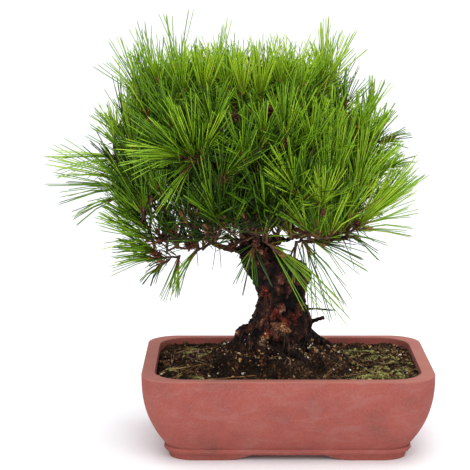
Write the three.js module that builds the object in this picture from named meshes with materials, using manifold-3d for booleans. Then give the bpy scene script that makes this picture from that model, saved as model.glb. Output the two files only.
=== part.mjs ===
// A Japanese red pine grown as a bonsai, in a rectangular pot of unglazed red clay.
// Millimetres, +Z up. The front of the tree faces -Y.
// The plant is worked out round the middle of the pot's foot. At the end the whole group is
// moved, so that the origin is at the middle of the plant's own footprint, on the table.

import * as THREE from 'three';
import { mergeVertices } from 'three/addons/utils/BufferGeometryUtils.js';
import Module from 'manifold-3d';

const wasm = await Module();
wasm.setup();
const { degToRad, lerp } = THREE.MathUtils;

// Driving dimensions of the pot
const POT = { width: 300, depth: 206, height: 90, corner: 29, wall: 13, floorTop: 17, rimRound: 1.2 };
const CORNER = { facets: 4, shrink: 0.45, least: 6 };
const WALL_LEVELS = [12, 20, 30, 40, 52, 66, 80];
const INNER_LEVELS = [17, 26, 40, 57, 72, 83];
// How the wall tucks in below the rim: how far, from what height, over what height, how roundly
const TUCK = { inset: 26, from: 88, over: 74, power: 1.9 };
const LEDGE = { bottom: 6.5, top: 12, proud: 2, slope: 3, lip: 1.5, ease: 1, bodyInset: 4 };
const FOOT = { outer: 31, inner: 50, flare: 2 };
// Half widths of the gaps between the feet, at the top and at the table
const FOOT_GAPS = { front: { top: 35, table: 69 }, side: { top: 18, table: 40 } };
// The bend of a gap's end: how far past its top, and its share of the height
const GAP_BEND = { past: 6, share: 0.45 };
const DRAIN = { radius: 8, offset: 62, sides: 14 };

// Driving dimensions of the soil, a mound round the trunk that falls to a level near the wall
const SOIL = { level: 83, rise: 18, plateau: 54, spread: 19, centreX: -10 };
const SOIL_RINGS = [0, 0.2, 0.4, 0.6, 0.8, 1];
// The gap between pieces that touch in life, and the length under which an edge is merged away
const GAP = 0.3;
const SMALLEST_EDGE = 0.02;

// The thick lower trunk, as level slices: height, middle, half width and half depth
const TRUNK_SLICES = [
  { z: 98, x: -12, rx: 45, ry: 40 },
  { z: 110, x: -11, rx: 42, ry: 38 },
  { z: 120, x: -9, rx: 38, ry: 35 },
  { z: 130, x: -7, rx: 33, ry: 31 },
  { z: 141, x: -5, rx: 28, ry: 28 },
  { z: 153, x: -5.5, rx: 25.5, ry: 26 },
  { z: 166, x: -6, rx: 27.5, ry: 26 },
  { z: 178, x: -8, rx: 33, ry: 28 },
  { z: 190, x: -12, rx: 36, ry: 28 },
  { z: 204, x: -24, rx: 27, ry: 25 },
  { z: 214, x: -34, rx: 17, ry: 18 },
];
const TRUNK_SIDES = 16;
// The old sawn face that ends the thick trunk: it falls to the right
const SAWN_FACE = { x: 27, z: 186, fallDeg: 27 };
// The thin leader that carries on from it to the top: place and radius
const LEADER = [
  { at: [-29, 0, 178], r: 9 },
  { at: [-37, 0, 200], r: 13 },
  { at: [-39, 1, 214], r: 11.5 },
  { at: [-41, 2, 232], r: 8.8 },
  { at: [-40, 4, 258], r: 8 },
  { at: [-37, 2, 298], r: 7 },
  { at: [-46, -1, 336], r: 5 },
  { at: [-68, 0, 360], r: 3 },
];
// Surface roots, and each one's steps: distance out, share of its bend, height, share of thickness
const ROOTS = { count: 8, firstDeg: 196, thick: 9.5, firstThicker: 1.35, seed: 41 };
const ROOT_STEPS = [[14, 0, 22, 1.25], [34, 0.2, 10, 1.1], [46, 0.6, 2, 0.75], [58, 1, -3, 0.35]];
const DEAD_TWIGS = [
  { from: [14, -6, 143], to: [54, -8, 143], r: 2.2 },
  { from: [14, -4, 128], to: [40, -6, 135], r: 4 },
];

// The crown: each mass has the middle and half sizes of the space its shoots end in, how many
// shoots, and the height at which its bough leaves the leader (none for the leader's own tip)
const MASSES = [
  { name: 'apex', at: [-106, 0, 376], half: [40, 42, 20], shoots: 10, from: null },
  { name: 'top', at: [-38, -8, 374], half: [36, 44, 26], shoots: 10, from: 344 },
  { name: 'upper_right', at: [30, -5, 358], half: [38, 44, 30], shoots: 9, from: 323 },
  { name: 'upper_left', at: [-150, -8, 326], half: [42, 46, 30], shoots: 11, from: 313 },
  { name: 'front_left', at: [-92, -56, 306], half: [40, 36, 38], shoots: 14, from: 287 },
  { name: 'front_right', at: [-16, -62, 306], half: [40, 36, 38], shoots: 14, from: 300 },
  { name: 'left', at: [-158, -14, 264], half: [42, 46, 26], shoots: 11, from: 260 },
  { name: 'right', at: [66, -8, 286], half: [32, 50, 32], shoots: 11, from: 270 },
  { name: 'lower_left', at: [-114, -12, 226], half: [42, 50, 18], shoots: 11, from: 207 },
  { name: 'lower_right', at: [52, -18, 232], half: [36, 44, 18], shoots: 10, from: 219 },
  { name: 'front_low', at: [-16, -66, 246], half: [42, 30, 24], shoots: 10, from: 230 },
  { name: 'front_left_low', at: [-84, -62, 252], half: [32, 30, 22], shoots: 8, from: 241 },
  { name: 'back_low', at: [-30, 62, 238], half: [50, 32, 24], shoots: 9, from: 236 },
  { name: 'back_high', at: [-30, 60, 332], half: [46, 32, 36], shoots: 10, from: 333 },
  { name: 'back_left', at: [-112, 60, 288], half: [38, 34, 38], shoots: 9, from: 278 },
  { name: 'back_right', at: [42, 60, 280], half: [36, 32, 36], shoots: 9, from: 251 },
];
const CROWN_MIDDLE = new THREE.Vector3(-42, 0, 240);
const BOUGH = { baseRadius: 4.2, tipRadius: 2.6, bow: 0.1, sides: 6, entry: 0.8 };
const STEM = { radius: 2.2, taper: 0.8, hubShare: 0.6, sides: 5 };
const TWIG = { radius: 1.3, sag: 0.1, detour: 0.35, tries: 3, shortest: 1 };
// How a shoot is placed on the shell of its mass, and what turns it outward and up
const SHOOT = { shell: 0.72, tries: 12, outward: 0.35, fromMiddle: 0.75, upward: 0.6, wander: 0.3 };
// A spray: a slim three-sided core, and needles that lean out more near its foot
const SPRAY = {
  bands: 4, core: 18, radius: 2.1, length: 70, leanLow: 74, leanHigh: 14, leanWander: 10,
  twistDeg: 40, droop: 0.1, bud: 3, rootShare: 0.12, spacing: 1.2, shares: [1, 0.65],
};
const TWIG_SIDES = 3;
const CORE_MARGIN = 3;
const NEEDLE_MARGIN = 2;
const LIMB_MARGIN = 1;
const SEED = 2024;
const SEED_STEP = 97;
const GOLDEN_ANGLE = Math.PI * (3 - Math.sqrt(5));

const COLOURS = {
  clay: { color: 0xb4645a, roughness: 0.85 },
  soil: { color: 0x2e231c, roughness: 1 },
  bark: { color: 0x3f2c25, roughness: 0.95 },
  needle: { color: 0x5c9a1e, roughness: 0.5 },
};

// A seeded row of numbers from 0 to 1
function dice(seed) {
  let state = seed;
  return () => {
    state = (state * 16807) % 2147483647;
    return state / 2147483647;
  };
}

// A number that strays from 0 by up to half a width, either way
function stray(roll, width) {
  return width * (roll() - 0.5);
}

function vec(point) {
  return new THREE.Vector3(...point);
}

// Solids and how they are joined

function solidOf(geometry) {
  const bare = geometry.clone();
  bare.deleteAttribute('normal');
  bare.deleteAttribute('uv');
  const merged = mergeVertices(bare, 1e-4);
  return new wasm.Manifold(new wasm.Mesh({
    numProp: 3,
    vertProperties: new Float32Array(merged.attributes.position.array),
    triVerts: new Uint32Array(merged.index.array),
  }));
}

function meshOf(name, solid, finish) {
  const made = solid.asOriginal().simplify(SMALLEST_EDGE).getMesh();
  const geometry = new THREE.BufferGeometry();
  geometry.setAttribute('position', new THREE.BufferAttribute(made.vertProperties, 3));
  geometry.setIndex(new THREE.BufferAttribute(made.triVerts, 1));
  geometry.computeVertexNormals();
  const mesh = new THREE.Mesh(geometry, new THREE.MeshStandardMaterial({ metalness: 0, ...finish }));
  mesh.name = name;
  return mesh;
}

// Joins solids in pairs, then the pairs, so that no join is large for long
function joined(solids) {
  let row = solids;
  while (row.length > 1) {
    row = row.reduce((out, solid, i) => {
      if (i % 2) out[out.length - 1] = out[out.length - 1].add(solid);
      else out.push(solid);
      return out;
    }, []);
  }
  return row[0];
}

function largestPiece(solid) {
  return solid.decompose().reduce((a, b) => (b.volume() > a.volume() ? b : a));
}

// A closed skin over rings of points, each ring turning left as seen from the end of the row
function loft(rings) {
  const count = rings[0].length;
  const points = rings.flat();
  const first = points.length;
  const middle = (ring) => ring.reduce((sum, p) => sum.add(p), new THREE.Vector3())
    .divideScalar(ring.length);
  points.push(middle(rings[0]), middle(rings[rings.length - 1]));
  const faces = [];
  for (let k = 0; k < rings.length - 1; k++) {
    for (let i = 0; i < count; i++) {
      const j = (i + 1) % count;
      const [a, b, c, d] = [k * count + i, k * count + j, (k + 1) * count + j, (k + 1) * count + i];
      faces.push(a, b, c, a, c, d);
    }
  }
  const last = (rings.length - 1) * count;
  for (let i = 0; i < count; i++) {
    const j = (i + 1) % count;
    faces.push(first, j, i, first + 1, last + i, last + j);
  }
  const geometry = new THREE.BufferGeometry().setFromPoints(points);
  geometry.setIndex(faces);
  return solidOf(geometry);
}

// Rings of points square to a path, with a radius at each of its points
function ringsAlong(points, radii, sides, twistDeg = 0) {
  let side = new THREE.Vector3(0.31, 0.87, 0.38);
  return points.map((point, k) => {
    const along = points[Math.min(k + 1, points.length - 1)].clone().sub(points[Math.max(k - 1, 0)]);
    along.normalize();
    side = side.clone().addScaledVector(along, -side.dot(along)).normalize();
    const up = along.clone().cross(side);
    return Array.from({ length: sides }, (_, i) => {
      const turn = (2 * Math.PI * i) / sides + degToRad(twistDeg * k);
      return point.clone()
        .addScaledVector(side, radii[k] * Math.cos(turn))
        .addScaledVector(up, radii[k] * Math.sin(turn));
    });
  });
}

function limb(points, radii, sides) {
  return loft(ringsAlong(points, radii, sides));
}

// The pot

// The pot's outline at a height, a rectangle with round corners, drawn in by an inset
function potRing(inset, z) {
  const radius = Math.max(POT.corner - inset * CORNER.shrink, CORNER.least);
  const [halfX, halfY] = [POT.width / 2 - inset - radius, POT.depth / 2 - inset - radius];
  const corners = [[1, 1, 0], [-1, 1, 90], [-1, -1, 180], [1, -1, 270]];
  return corners.flatMap(([sx, sy, from]) => Array.from({ length: CORNER.facets + 1 }, (_, i) => {
    const turn = degToRad(from + (90 * i) / CORNER.facets);
    return new THREE.Vector3(sx * halfX + radius * Math.cos(turn), sy * halfY + radius * Math.sin(turn), z);
  }));
}

// How far the wall has tucked in at a height: nothing at the rim, more towards the foot
function tuck(z) {
  return TUCK.inset * Math.max((TUCK.from - z) / TUCK.over, 0) ** TUCK.power;
}

// The inside of the wall from the floor up to the level of the soil
function innerRings(gap) {
  return INNER_LEVELS.map((z) => potRing(tuck(z) + POT.wall + gap, z));
}

// The space between two feet, as a long bar under the pot along Y
function gapUnderPot({ top, table }, length) {
  const [bendX, bendZ] = [top + GAP_BEND.past, LEDGE.bottom * GAP_BEND.share];
  const shape = new THREE.Shape();
  shape.moveTo(-table, -1);
  shape.quadraticCurveTo(-bendX, bendZ, -top, LEDGE.bottom);
  shape.lineTo(top, LEDGE.bottom);
  shape.quadraticCurveTo(bendX, bendZ, table, -1);
  const bar = new THREE.ExtrudeGeometry(shape, { depth: length, bevelEnabled: false, curveSegments: 5 });
  bar.rotateX(Math.PI / 2);
  bar.translate(0, length / 2, 0);
  return bar;
}

function makeFeet() {
  const outside = [potRing(FOOT.outer + FOOT.flare, 0), potRing(FOOT.outer, LEDGE.bottom + 1)];
  const inside = [potRing(FOOT.inner, -1), potRing(FOOT.inner, LEDGE.bottom)];
  const across = gapUnderPot(FOOT_GAPS.side, POT.width);
  across.rotateZ(Math.PI / 2);
  return loft(outside)
    .subtract(loft(inside))
    .subtract(solidOf(gapUnderPot(FOOT_GAPS.front, POT.depth)))
    .subtract(solidOf(across));
}

function makeDrain(x) {
  const hole = new THREE.CylinderGeometry(DRAIN.radius, DRAIN.radius, POT.floorTop * 3, DRAIN.sides);
  hole.rotateX(Math.PI / 2);
  hole.translate(x, 0, 0);
  return solidOf(hole);
}

function makePot() {
  const body = loft([
    potRing(tuck(LEDGE.top) + LEDGE.bodyInset, LEDGE.bottom),
    ...WALL_LEVELS.map((z) => potRing(tuck(z), z)),
    potRing(tuck(POT.height), POT.height - POT.rimRound),
    potRing(POT.rimRound, POT.height),
  ]);
  const ledgeInset = tuck(LEDGE.top) - LEDGE.proud;
  const ledge = loft([
    potRing(ledgeInset + LEDGE.slope, LEDGE.bottom),
    potRing(ledgeInset, LEDGE.top - LEDGE.lip),
    potRing(ledgeInset + LEDGE.ease, LEDGE.top),
  ]);
  const hollow = loft([...innerRings(0), potRing(POT.wall, POT.height + 1)]);
  const drains = [-DRAIN.offset, DRAIN.offset].map(makeDrain);
  return joined([body, ledge, makeFeet()]).subtract(hollow).subtract(joined(drains));
}

// The soil: a block that fills the pot, with a mound under the trunk

function soilHeight(x, y) {
  const away = Math.max(Math.hypot(x - SOIL.centreX, y) - SOIL.plateau, 0);
  return SOIL.level + SOIL.rise * Math.exp(-((away / SOIL.spread) ** 2));
}

function makeSoil() {
  const [bottom, ...walls] = innerRings(GAP);
  bottom.forEach((p) => p.setZ(POT.floorTop + GAP));
  const edge = walls.pop();
  const middle = new THREE.Vector3(SOIL.centreX, 0, SOIL.level);
  const top = SOIL_RINGS.map((share) => edge.map((rim) => {
    const inner = rim.clone().sub(middle).setLength(SOIL.plateau).add(middle);
    const point = rim.clone().lerp(inner, share);
    return point.setZ(soilHeight(point.x, point.y));
  }));
  return loft([bottom, ...walls, ...top]);
}

// The trunk, with its surface roots and the leader

function slice({ z, x, rx, ry }, grown) {
  return Array.from({ length: TRUNK_SIDES }, (_, i) => {
    const turn = (2 * Math.PI * i) / TRUNK_SIDES;
    const lobe = 1 + 0.045 * Math.sin(3 * turn + z * 0.05) + 0.03 * Math.sin(7 * turn - z * 0.09);
    return new THREE.Vector3(
      x + (rx * lobe + grown) * Math.cos(turn),
      (ry * lobe + grown) * Math.sin(turn),
      z,
    );
  });
}

function sawnSpace(grown) {
  const size = 200;
  const box = new THREE.BoxGeometry(size, size, size);
  box.translate(0, 0, size / 2);
  box.rotateY(degToRad(SAWN_FACE.fallDeg));
  box.translate(SAWN_FACE.x, 0, SAWN_FACE.z + grown);
  return solidOf(box);
}

// The sawn-off trunk with its leader, or the same a little larger all round
function stock(grown) {
  const leader = leaderPath();
  const lower = loft(TRUNK_SLICES.map((s) => slice(s, grown))).subtract(sawnSpace(2 * grown));
  return lower.add(limb(leader.points, leader.radii.map((r) => r + grown), 12));
}

function rootPaths() {
  const roll = dice(ROOTS.seed);
  return Array.from({ length: ROOTS.count }, (_, k) => {
    const turn = degToRad(ROOTS.firstDeg + (360 * k) / ROOTS.count + stray(roll, 14));
    const bend = stray(roll, 0.35);
    const reach = 1 - 0.2 * roll();
    const thick = ROOTS.thick * (k === 0 ? ROOTS.firstThicker : 0.75 + 0.35 * roll());
    const points = ROOT_STEPS.map(([out, share, lift]) => {
      const angle = turn + bend * share;
      const far = out * lerp(1, reach, share);
      return new THREE.Vector3(
        SOIL.centreX + far * Math.cos(angle),
        far * Math.sin(angle),
        SOIL.level + SOIL.rise + lift,
      );
    });
    return { points, radii: ROOT_STEPS.map(([, , , size]) => thick * size) };
  });
}

function leaderPath() {
  return { points: LEADER.map((p) => vec(p.at)), radii: LEADER.map((p) => p.r) };
}

function makeTrunk() {
  const roots = rootPaths().map(({ points, radii }) => limb(points, radii, 6));
  const twigs = DEAD_TWIGS.map(({ from, to, r }) => limb([vec(from), vec(to)], [r, r * 0.6], 6));
  return joined([stock(0), ...roots, ...twigs]).trimByPlane([0, 0, 1], SOIL.level + SOIL.rise + GAP);
}

// Boughs: each leaves the leader at its height and ends where it enters its mass

function leaderAt(z) {
  const k = Math.max(LEADER.findIndex((p) => p.at[2] > z), 1);
  const [a, b] = [vec(LEADER[k - 1].at), vec(LEADER[k].at)];
  return a.lerp(b, (z - a.z) / (b.z - a.z));
}

function boughPath({ at, half, from }) {
  const middle = vec(at);
  if (from === null) {
    const { points } = leaderPath();
    return { points: points.slice(-2), radii: [LEADER.at(-2).r, LEADER.at(-1).r] };
  }
  const start = leaderAt(from);
  const back = start.clone().sub(middle);
  const reach = Math.hypot(back.x / half[0], back.y / half[1], back.z / half[2]);
  const end = middle.clone().addScaledVector(back, BOUGH.entry / reach);
  const length = start.distanceTo(end);
  const points = [0, 0.33, 0.67, 1].map((share) => {
    const point = start.clone().lerp(end, share);
    point.z += BOUGH.bow * length * Math.sin(Math.PI * share) * (start.z > end.z ? 1 : -1);
    return point;
  });
  const radii = points.map((_, k) => lerp(BOUGH.baseRadius, BOUGH.tipRadius, k / 3));
  return { points, radii };
}

// Every limb as short straight stretches, for keeping twigs and needles off them

function stretches({ points, radii }) {
  return points.slice(1).map((b, k) => ({ a: points[k], b, r: Math.max(radii[k], radii[k + 1]) }));
}

const trunkStretches = TRUNK_SLICES.slice(1).map((top, k) => ({
  a: new THREE.Vector3(TRUNK_SLICES[k].x, 0, TRUNK_SLICES[k].z),
  b: new THREE.Vector3(top.x, 0, top.z),
  r: Math.max(top.rx, TRUNK_SLICES[k].rx) + 1,
}));
const boughPaths = new Map(MASSES.map((mass) => [mass.name, boughPath(mass)]));
const LIMBS = [
  ...trunkStretches,
  ...stretches(leaderPath()),
  ...MASSES.filter((m) => m.from !== null).flatMap((m) => stretches(boughPaths.get(m.name))),
];

// The least distance between the straight lines a-b and c-d
function lineGap(a, b, c, d) {
  const [u, v, w] = [b.clone().sub(a), d.clone().sub(c), a.clone().sub(c)];
  const [uu, uv, vv, uw, vw] = [u.dot(u), u.dot(v), v.dot(v), u.dot(w), v.dot(w)];
  const clamp = (x) => Math.min(Math.max(x, 0), 1);
  const det = uu * vv - uv * uv;
  let s = det > 1e-9 ? clamp((uv * vw - vv * uw) / det) : 0;
  const t = clamp((uv * s + vw) / vv);
  s = clamp((uv * t - uw) / uu);
  return a.clone().addScaledVector(u, s).distanceTo(c.clone().addScaledVector(v, t));
}

function clearOf(limbs, a, b, radius) {
  return limbs.every((l) => lineGap(a, b, l.a, l.b) > l.r + radius + LIMB_MARGIN);
}

// A mass keeps to the points that are nearer its own middle than any other's
function inCell(point, mass, margin) {
  const own = vec(mass.at);
  return MASSES.every((other) => {
    if (other === mass) return true;
    const away = vec(other.at);
    const lead = point.distanceToSquared(away) - point.distanceToSquared(own);
    return lead / (2 * own.distanceTo(away)) > margin;
  });
}

// Shoot tips spread evenly over the shell of the mass, and the way each shoot points
function shootTips(mass, roll) {
  const middle = vec(mass.at);
  const turn = 2 * Math.PI * roll();
  const tips = [];
  for (let k = 0; k < mass.shoots; k++) {
    for (let attempt = 0; attempt < SHOOT.tries; attempt++) {
      const level = 1 - (2 * k + 1 + stray(roll, 1.2)) / mass.shoots;
      const round = Math.sqrt(1 - level * level);
      const angle = turn + GOLDEN_ANGLE * k + stray(roll, 0.7);
      const out = new THREE.Vector3(round * Math.cos(angle), round * Math.sin(angle), level);
      const size = lerp(SHOOT.shell, 1, roll());
      const tip = vec(mass.half).multiply(out).multiplyScalar(size).add(middle);
      const away = tip.clone().sub(CROWN_MIDDLE).normalize();
      const wander = new THREE.Vector3(stray(roll, SHOOT.wander), stray(roll, SHOOT.wander), SHOOT.upward);
      const aim = out.multiplyScalar(SHOOT.outward).addScaledVector(away, SHOOT.fromMiddle).add(wander);
      aim.normalize();
      const foot = tip.clone().addScaledVector(aim, -SPRAY.core);
      const kept = [tip, foot].every((end) => inCell(end, mass, CORE_MARGIN));
      if (kept && clearOf(LIMBS, foot, tip, CORE_MARGIN)) {
        tips.push({ tip, aim, foot });
        break;
      }
    }
  }
  return tips;
}

// Twigs: the nearest shoots come first, and each later one leaves the twig that lies closest
function twigTree(mass, tips) {
  const start = boughPaths.get(mass.name).points.at(-1);
  const hub = start.clone().lerp(vec(mass.at), STEM.hubShare);
  const forks = [{ at: hub, far: 0 }];
  const order = [...tips].sort((p, q) => p.foot.distanceTo(hub) - q.foot.distanceTo(hub));
  const shoots = [];
  for (const shoot of order) {
    const ranked = forks
      .map((fork) => ({ fork, cost: fork.at.distanceTo(shoot.foot) + TWIG.detour * fork.far }))
      .sort((p, q) => p.cost - q.cost);
    for (const { fork } of ranked.slice(0, TWIG.tries)) {
      const length = fork.at.distanceTo(shoot.foot);
      const bend = fork.at.clone().lerp(shoot.foot, 0.5);
      bend.z -= TWIG.sag * length;
      const free = inCell(bend, mass, NEEDLE_MARGIN)
        && clearOf(LIMBS, fork.at, bend, TWIG.radius) && clearOf(LIMBS, bend, shoot.foot, TWIG.radius);
      if (length < TWIG.shortest || !free) continue;
      shoots.push({ ...shoot, start: fork.at, bend });
      forks.push({ at: bend, far: fork.far + length / 2 }, { at: shoot.foot, far: fork.far + length });
      break;
    }
  }
  return { stem: [start, hub], shoots };
}

// The room that a bough's last stretch takes, with the gap between it and its mass's stem
function boughEndSpace(mass) {
  const { points, radii } = boughPaths.get(mass.name);
  const [before, end] = points.slice(-2);
  const past = end.clone().addScaledVector(end.clone().sub(before).normalize(), GAP);
  return limb([before, past], radii.slice(-2).map((r) => r + 2 * GAP), BOUGH.sides);
}

// A shoot and its spray: the twig, the slim core that ends it, and the core's faces drawn out
// into needles, so that each needle has its root in the core

function needleEnd(root, shoot, length, lean) {
  const out = root.clone().sub(shoot.foot);
  out.addScaledVector(shoot.aim, -out.dot(shoot.aim)).normalize();
  const open = degToRad(lean);
  const end = root.clone()
    .addScaledVector(shoot.aim, length * Math.cos(open))
    .addScaledVector(out, length * Math.sin(open));
  end.z -= SPRAY.droop * length * Math.sin(open);
  return end;
}

function makeShoot(shoot, mass, roll, taken) {
  const { start, bend, foot, tip, aim } = shoot;
  const steps = Array.from({ length: SPRAY.bands + 1 }, (_, k) => foot.clone().lerp(tip, k / SPRAY.bands));
  const path = [start, bend, ...steps];
  const radii = path.map((_, k) => (k < 2 ? TWIG.radius : SPRAY.radius));
  const points = ringsAlong(path, radii, TWIG_SIDES, SPRAY.twistDeg).flat();
  const needles = [];
  const faces = [2, 1, 0];
  const free = (a, b) => inCell(b, mass, NEEDLE_MARGIN) && clearOf(LIMBS, a, b, NEEDLE_MARGIN)
    && clearOf(taken, a.clone().lerp(b, SPRAY.rootShare), b, SPRAY.spacing);

  // Draws one face out to a point, or leaves it flat where its needle has no room
  const drawOut = (corners, lean) => {
    const root = corners.reduce((sum, i) => sum.add(points[i]), new THREE.Vector3()).divideScalar(3);
    const length = SPRAY.length * (0.85 + 0.25 * roll());
    const open = lean + stray(roll, SPRAY.leanWander);
    const ends = SPRAY.shares.map((share) => needleEnd(root, shoot, share * length, open));
    const end = ends.find((point) => free(root, point));
    if (!end) return faces.push(...corners);
    needles.push({ a: root.clone().lerp(end, SPRAY.rootShare), b: end, r: 0 });
    const [a, b, c] = corners;
    const point = points.push(end) - 1;
    return faces.push(a, b, point, b, c, point, c, a, point);
  };
  for (let k = 0; k < path.length - 1; k++) {
    const lean = (share) => lerp(SPRAY.leanLow, SPRAY.leanHigh, (k - 2) / SPRAY.bands + share);
    for (let i = 0; i < TWIG_SIDES; i++) {
      const [a, b] = [TWIG_SIDES * k + i, TWIG_SIDES * k + ((i + 1) % TWIG_SIDES)];
      const [c, d] = [a + TWIG_SIDES, b + TWIG_SIDES];
      if (k < 2) {
        faces.push(a, b, d, a, d, c);
      } else {
        drawOut([a, b, c], lean(0.1));
        drawOut([b, d, c], lean(0.2));
      }
    }
  }
  const leader = tip.clone().addScaledVector(aim, SPRAY.length);
  const bud = points.push(free(tip, leader) ? leader : tip.clone().addScaledVector(aim, SPRAY.bud)) - 1;
  const last = (path.length - 1) * TWIG_SIDES;
  faces.push(last, last + 1, bud, last + 1, last + 2, bud, last + 2, last, bud);
  taken.push(...needles);
  const geometry = new THREE.BufferGeometry().setFromPoints(points);
  geometry.setIndex(faces);
  return solidOf(geometry);
}

function makeMass(mass, index) {
  const roll = dice(SEED + SEED_STEP * index);
  const { stem, shoots } = twigTree(mass, shootTips(mass, roll));
  const stemRadii = [STEM.radius, STEM.radius * STEM.taper];
  const taken = [
    ...stretches({ points: stem, radii: stemRadii }),
    ...shoots.flatMap(({ start, bend, foot, tip }) => stretches({
      points: [start, bend, foot, tip],
      radii: [TWIG.radius, TWIG.radius, SPRAY.radius, SPRAY.radius],
    })),
  ];
  const solids = shoots.map((shoot) => makeShoot(shoot, mass, roll, taken));
  const whole = joined([limb(stem, stemRadii, STEM.sides), ...solids]);
  return largestPiece(whole.subtract(boughEndSpace(mass)));
}

// Everything together

const plant = new THREE.Group();
plant.add(meshOf('pot', makePot(), COLOURS.clay));
plant.add(meshOf('soil', makeSoil(), COLOURS.soil));
plant.add(meshOf('trunk', makeTrunk(), COLOURS.bark));

const trunkSpace = stock(GAP);
MASSES.filter((mass) => mass.from !== null).forEach((mass) => {
  const { points, radii } = boughPaths.get(mass.name);
  const bough = largestPiece(limb(points, radii, BOUGH.sides).subtract(trunkSpace));
  plant.add(meshOf(`bough_${mass.name}`, bough, COLOURS.bark));
});
MASSES.forEach((mass, index) => {
  plant.add(meshOf(`foliage_${mass.name}`, makeMass(mass, index), COLOURS.needle));
});

const reach = new THREE.Box3().setFromObject(plant, true);
plant.position.set(-(reach.min.x + reach.max.x) / 2, -(reach.min.y + reach.max.y) / 2, -reach.min.z);

export default plant;
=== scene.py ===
# %% [markdown]
# # A Japanese red pine grown as a bonsai
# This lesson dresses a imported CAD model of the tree. The model is a fixed frame: it gives each
# piece its place and size, in metres. Everything here is built round it: the pot, the soil, the
# bark, the twigs and the needles. We begin by loading the frame.

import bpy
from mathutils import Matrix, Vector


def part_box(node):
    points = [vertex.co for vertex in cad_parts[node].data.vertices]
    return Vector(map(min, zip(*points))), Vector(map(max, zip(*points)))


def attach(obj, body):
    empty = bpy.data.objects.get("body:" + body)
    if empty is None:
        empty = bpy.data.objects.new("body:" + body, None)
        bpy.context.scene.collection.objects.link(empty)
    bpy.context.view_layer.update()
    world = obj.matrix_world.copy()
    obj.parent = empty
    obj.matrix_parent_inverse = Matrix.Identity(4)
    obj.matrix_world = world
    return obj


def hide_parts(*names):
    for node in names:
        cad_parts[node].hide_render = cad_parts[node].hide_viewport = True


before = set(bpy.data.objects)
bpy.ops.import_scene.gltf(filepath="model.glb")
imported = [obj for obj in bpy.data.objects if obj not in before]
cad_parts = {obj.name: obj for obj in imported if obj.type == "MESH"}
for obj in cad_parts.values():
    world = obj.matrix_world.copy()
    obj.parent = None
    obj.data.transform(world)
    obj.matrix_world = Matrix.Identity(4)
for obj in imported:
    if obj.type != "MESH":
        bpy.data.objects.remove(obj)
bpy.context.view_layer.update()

# %% [markdown]
# A bonsai is measured in millimetres and from the middle of its pot, because that is how a grower
# sees it. Blender works in metres. So every size below is written in millimetres from the middle
# of the pot's foot. A helper, `at`, turns such a place into the frame's own, and `in_mm` turns it
# back.

# %% Places and sizes
import math

import bmesh
import bpy
import numpy as np
from mathutils import Vector, noise
from mathutils.bvhtree import BVHTree

MM = 0.001
pot_low, pot_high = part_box("pot")
POT_MIDDLE = Vector(((pot_low.x + pot_high.x) / 2, (pot_low.y + pot_high.y) / 2, 0))


def at(x, y, z):
    return POT_MIDDLE + Vector((x, y, z)) * MM


def in_mm(place):
    return (place - POT_MIDDLE) / MM


print("middle of the pot, metres:", [round(v, 5) for v in POT_MIDDLE])

# %% [markdown]
# ## Camera
# A picture only matches if it is taken from the same place. The photograph looks slightly down on
# the tree: the rim of the pot shows as a thin ellipse. The camera therefore stands a little
# above the crown and is tilted down by under ten degrees. A long lens keeps the pot's sides
# nearly parallel, as they are in the photograph.

# %% The camera
EYE = at(-54.37, -1676.44, 503.94)
PITCH_DOWN_DEG = 9.55
LENS_MM = 124.08
bpy.ops.object.select_all(action="DESELECT")
bpy.ops.object.camera_add(location=EYE, rotation=(math.radians(90 - PITCH_DOWN_DEG), 0, 0))
camera = bpy.context.object
camera.name = "camera"
camera.data.lens = LENS_MM
camera.data.sensor_width = 36
bpy.context.scene.camera = camera
print("camera at", [round(v, 3) for v in camera.location])

# %% [markdown]
# ## Colours and nodes
# Hex codes are written in sRGB, as on a paint chart, but a shader works with linear light, so one
# function turns the first into the second. Another adds a shader node with its settings and
# its links, which keeps every material short enough to read: a node given as a value stands for
# its own first output. A texture's scale is how often it repeats in a metre, so a grain of
# 4 mm has the scale 1000 / 4.

# %% Helpers for finishes
def paint(code):
    channels = [int(code[i:i + 2], 16) / 255 for i in (1, 3, 5)]
    linear = [c / 12.92 if c <= 0.04045 else ((c + 0.055) / 1.055) ** 2.4 for c in channels]
    return (*linear, 1.0)


def feed(tree, node, inputs):
    """Gives a node's inputs plain values, or links from another node's first live output."""
    for socket, value in inputs.items():
        if isinstance(value, bpy.types.Node):
            value = next(output for output in value.outputs if output.enabled)
        if isinstance(value, bpy.types.NodeSocket):
            tree.links.new(value, node.inputs[socket])
        else:
            node.inputs[socket].default_value = value


def add(tree, kind, inputs=None, stops=(), **settings):
    """A new shader node with its settings, its inputs and, for a colour ramp, its stops."""
    made = tree.nodes.new("ShaderNode" + kind)
    for name, value in settings.items():
        setattr(made, name, value)
    feed(tree, made, inputs or {})
    while stops and len(made.color_ramp.elements) < len(stops):
        made.color_ramp.elements.new(0.5)
    for k, (place, code) in enumerate(stops):
        made.color_ramp.elements[k].position = place
        made.color_ramp.elements[k].color = paint(code)
    return made


def new_finish(name):
    """A material, its nodes, its shader, and the place of each point on the piece."""
    finish = bpy.data.materials.new(name)
    finish.use_nodes = True
    tree = finish.node_tree
    place = add(tree, "TexCoord").outputs["Object"]
    return finish, tree, tree.nodes["Principled BSDF"], place


def coat(piece, finish):
    piece.data.materials.clear()
    piece.data.materials.append(finish)


print("brick red in linear light:", [round(v, 3) for v in paint("#9B5046")])

# %% [markdown]
# ## Stage
# The photograph was taken on white paper. A plane whose far edge is drawn up into a rounded sweep
# gives the same: a floor with no line behind it. The paper is plain, pale and without gloss.

# %% The floor and its sweep
FLOOR_HALF = 2.6
SWEEP_RISE = 3.0
SWEEP_ROUND = 0.9


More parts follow.
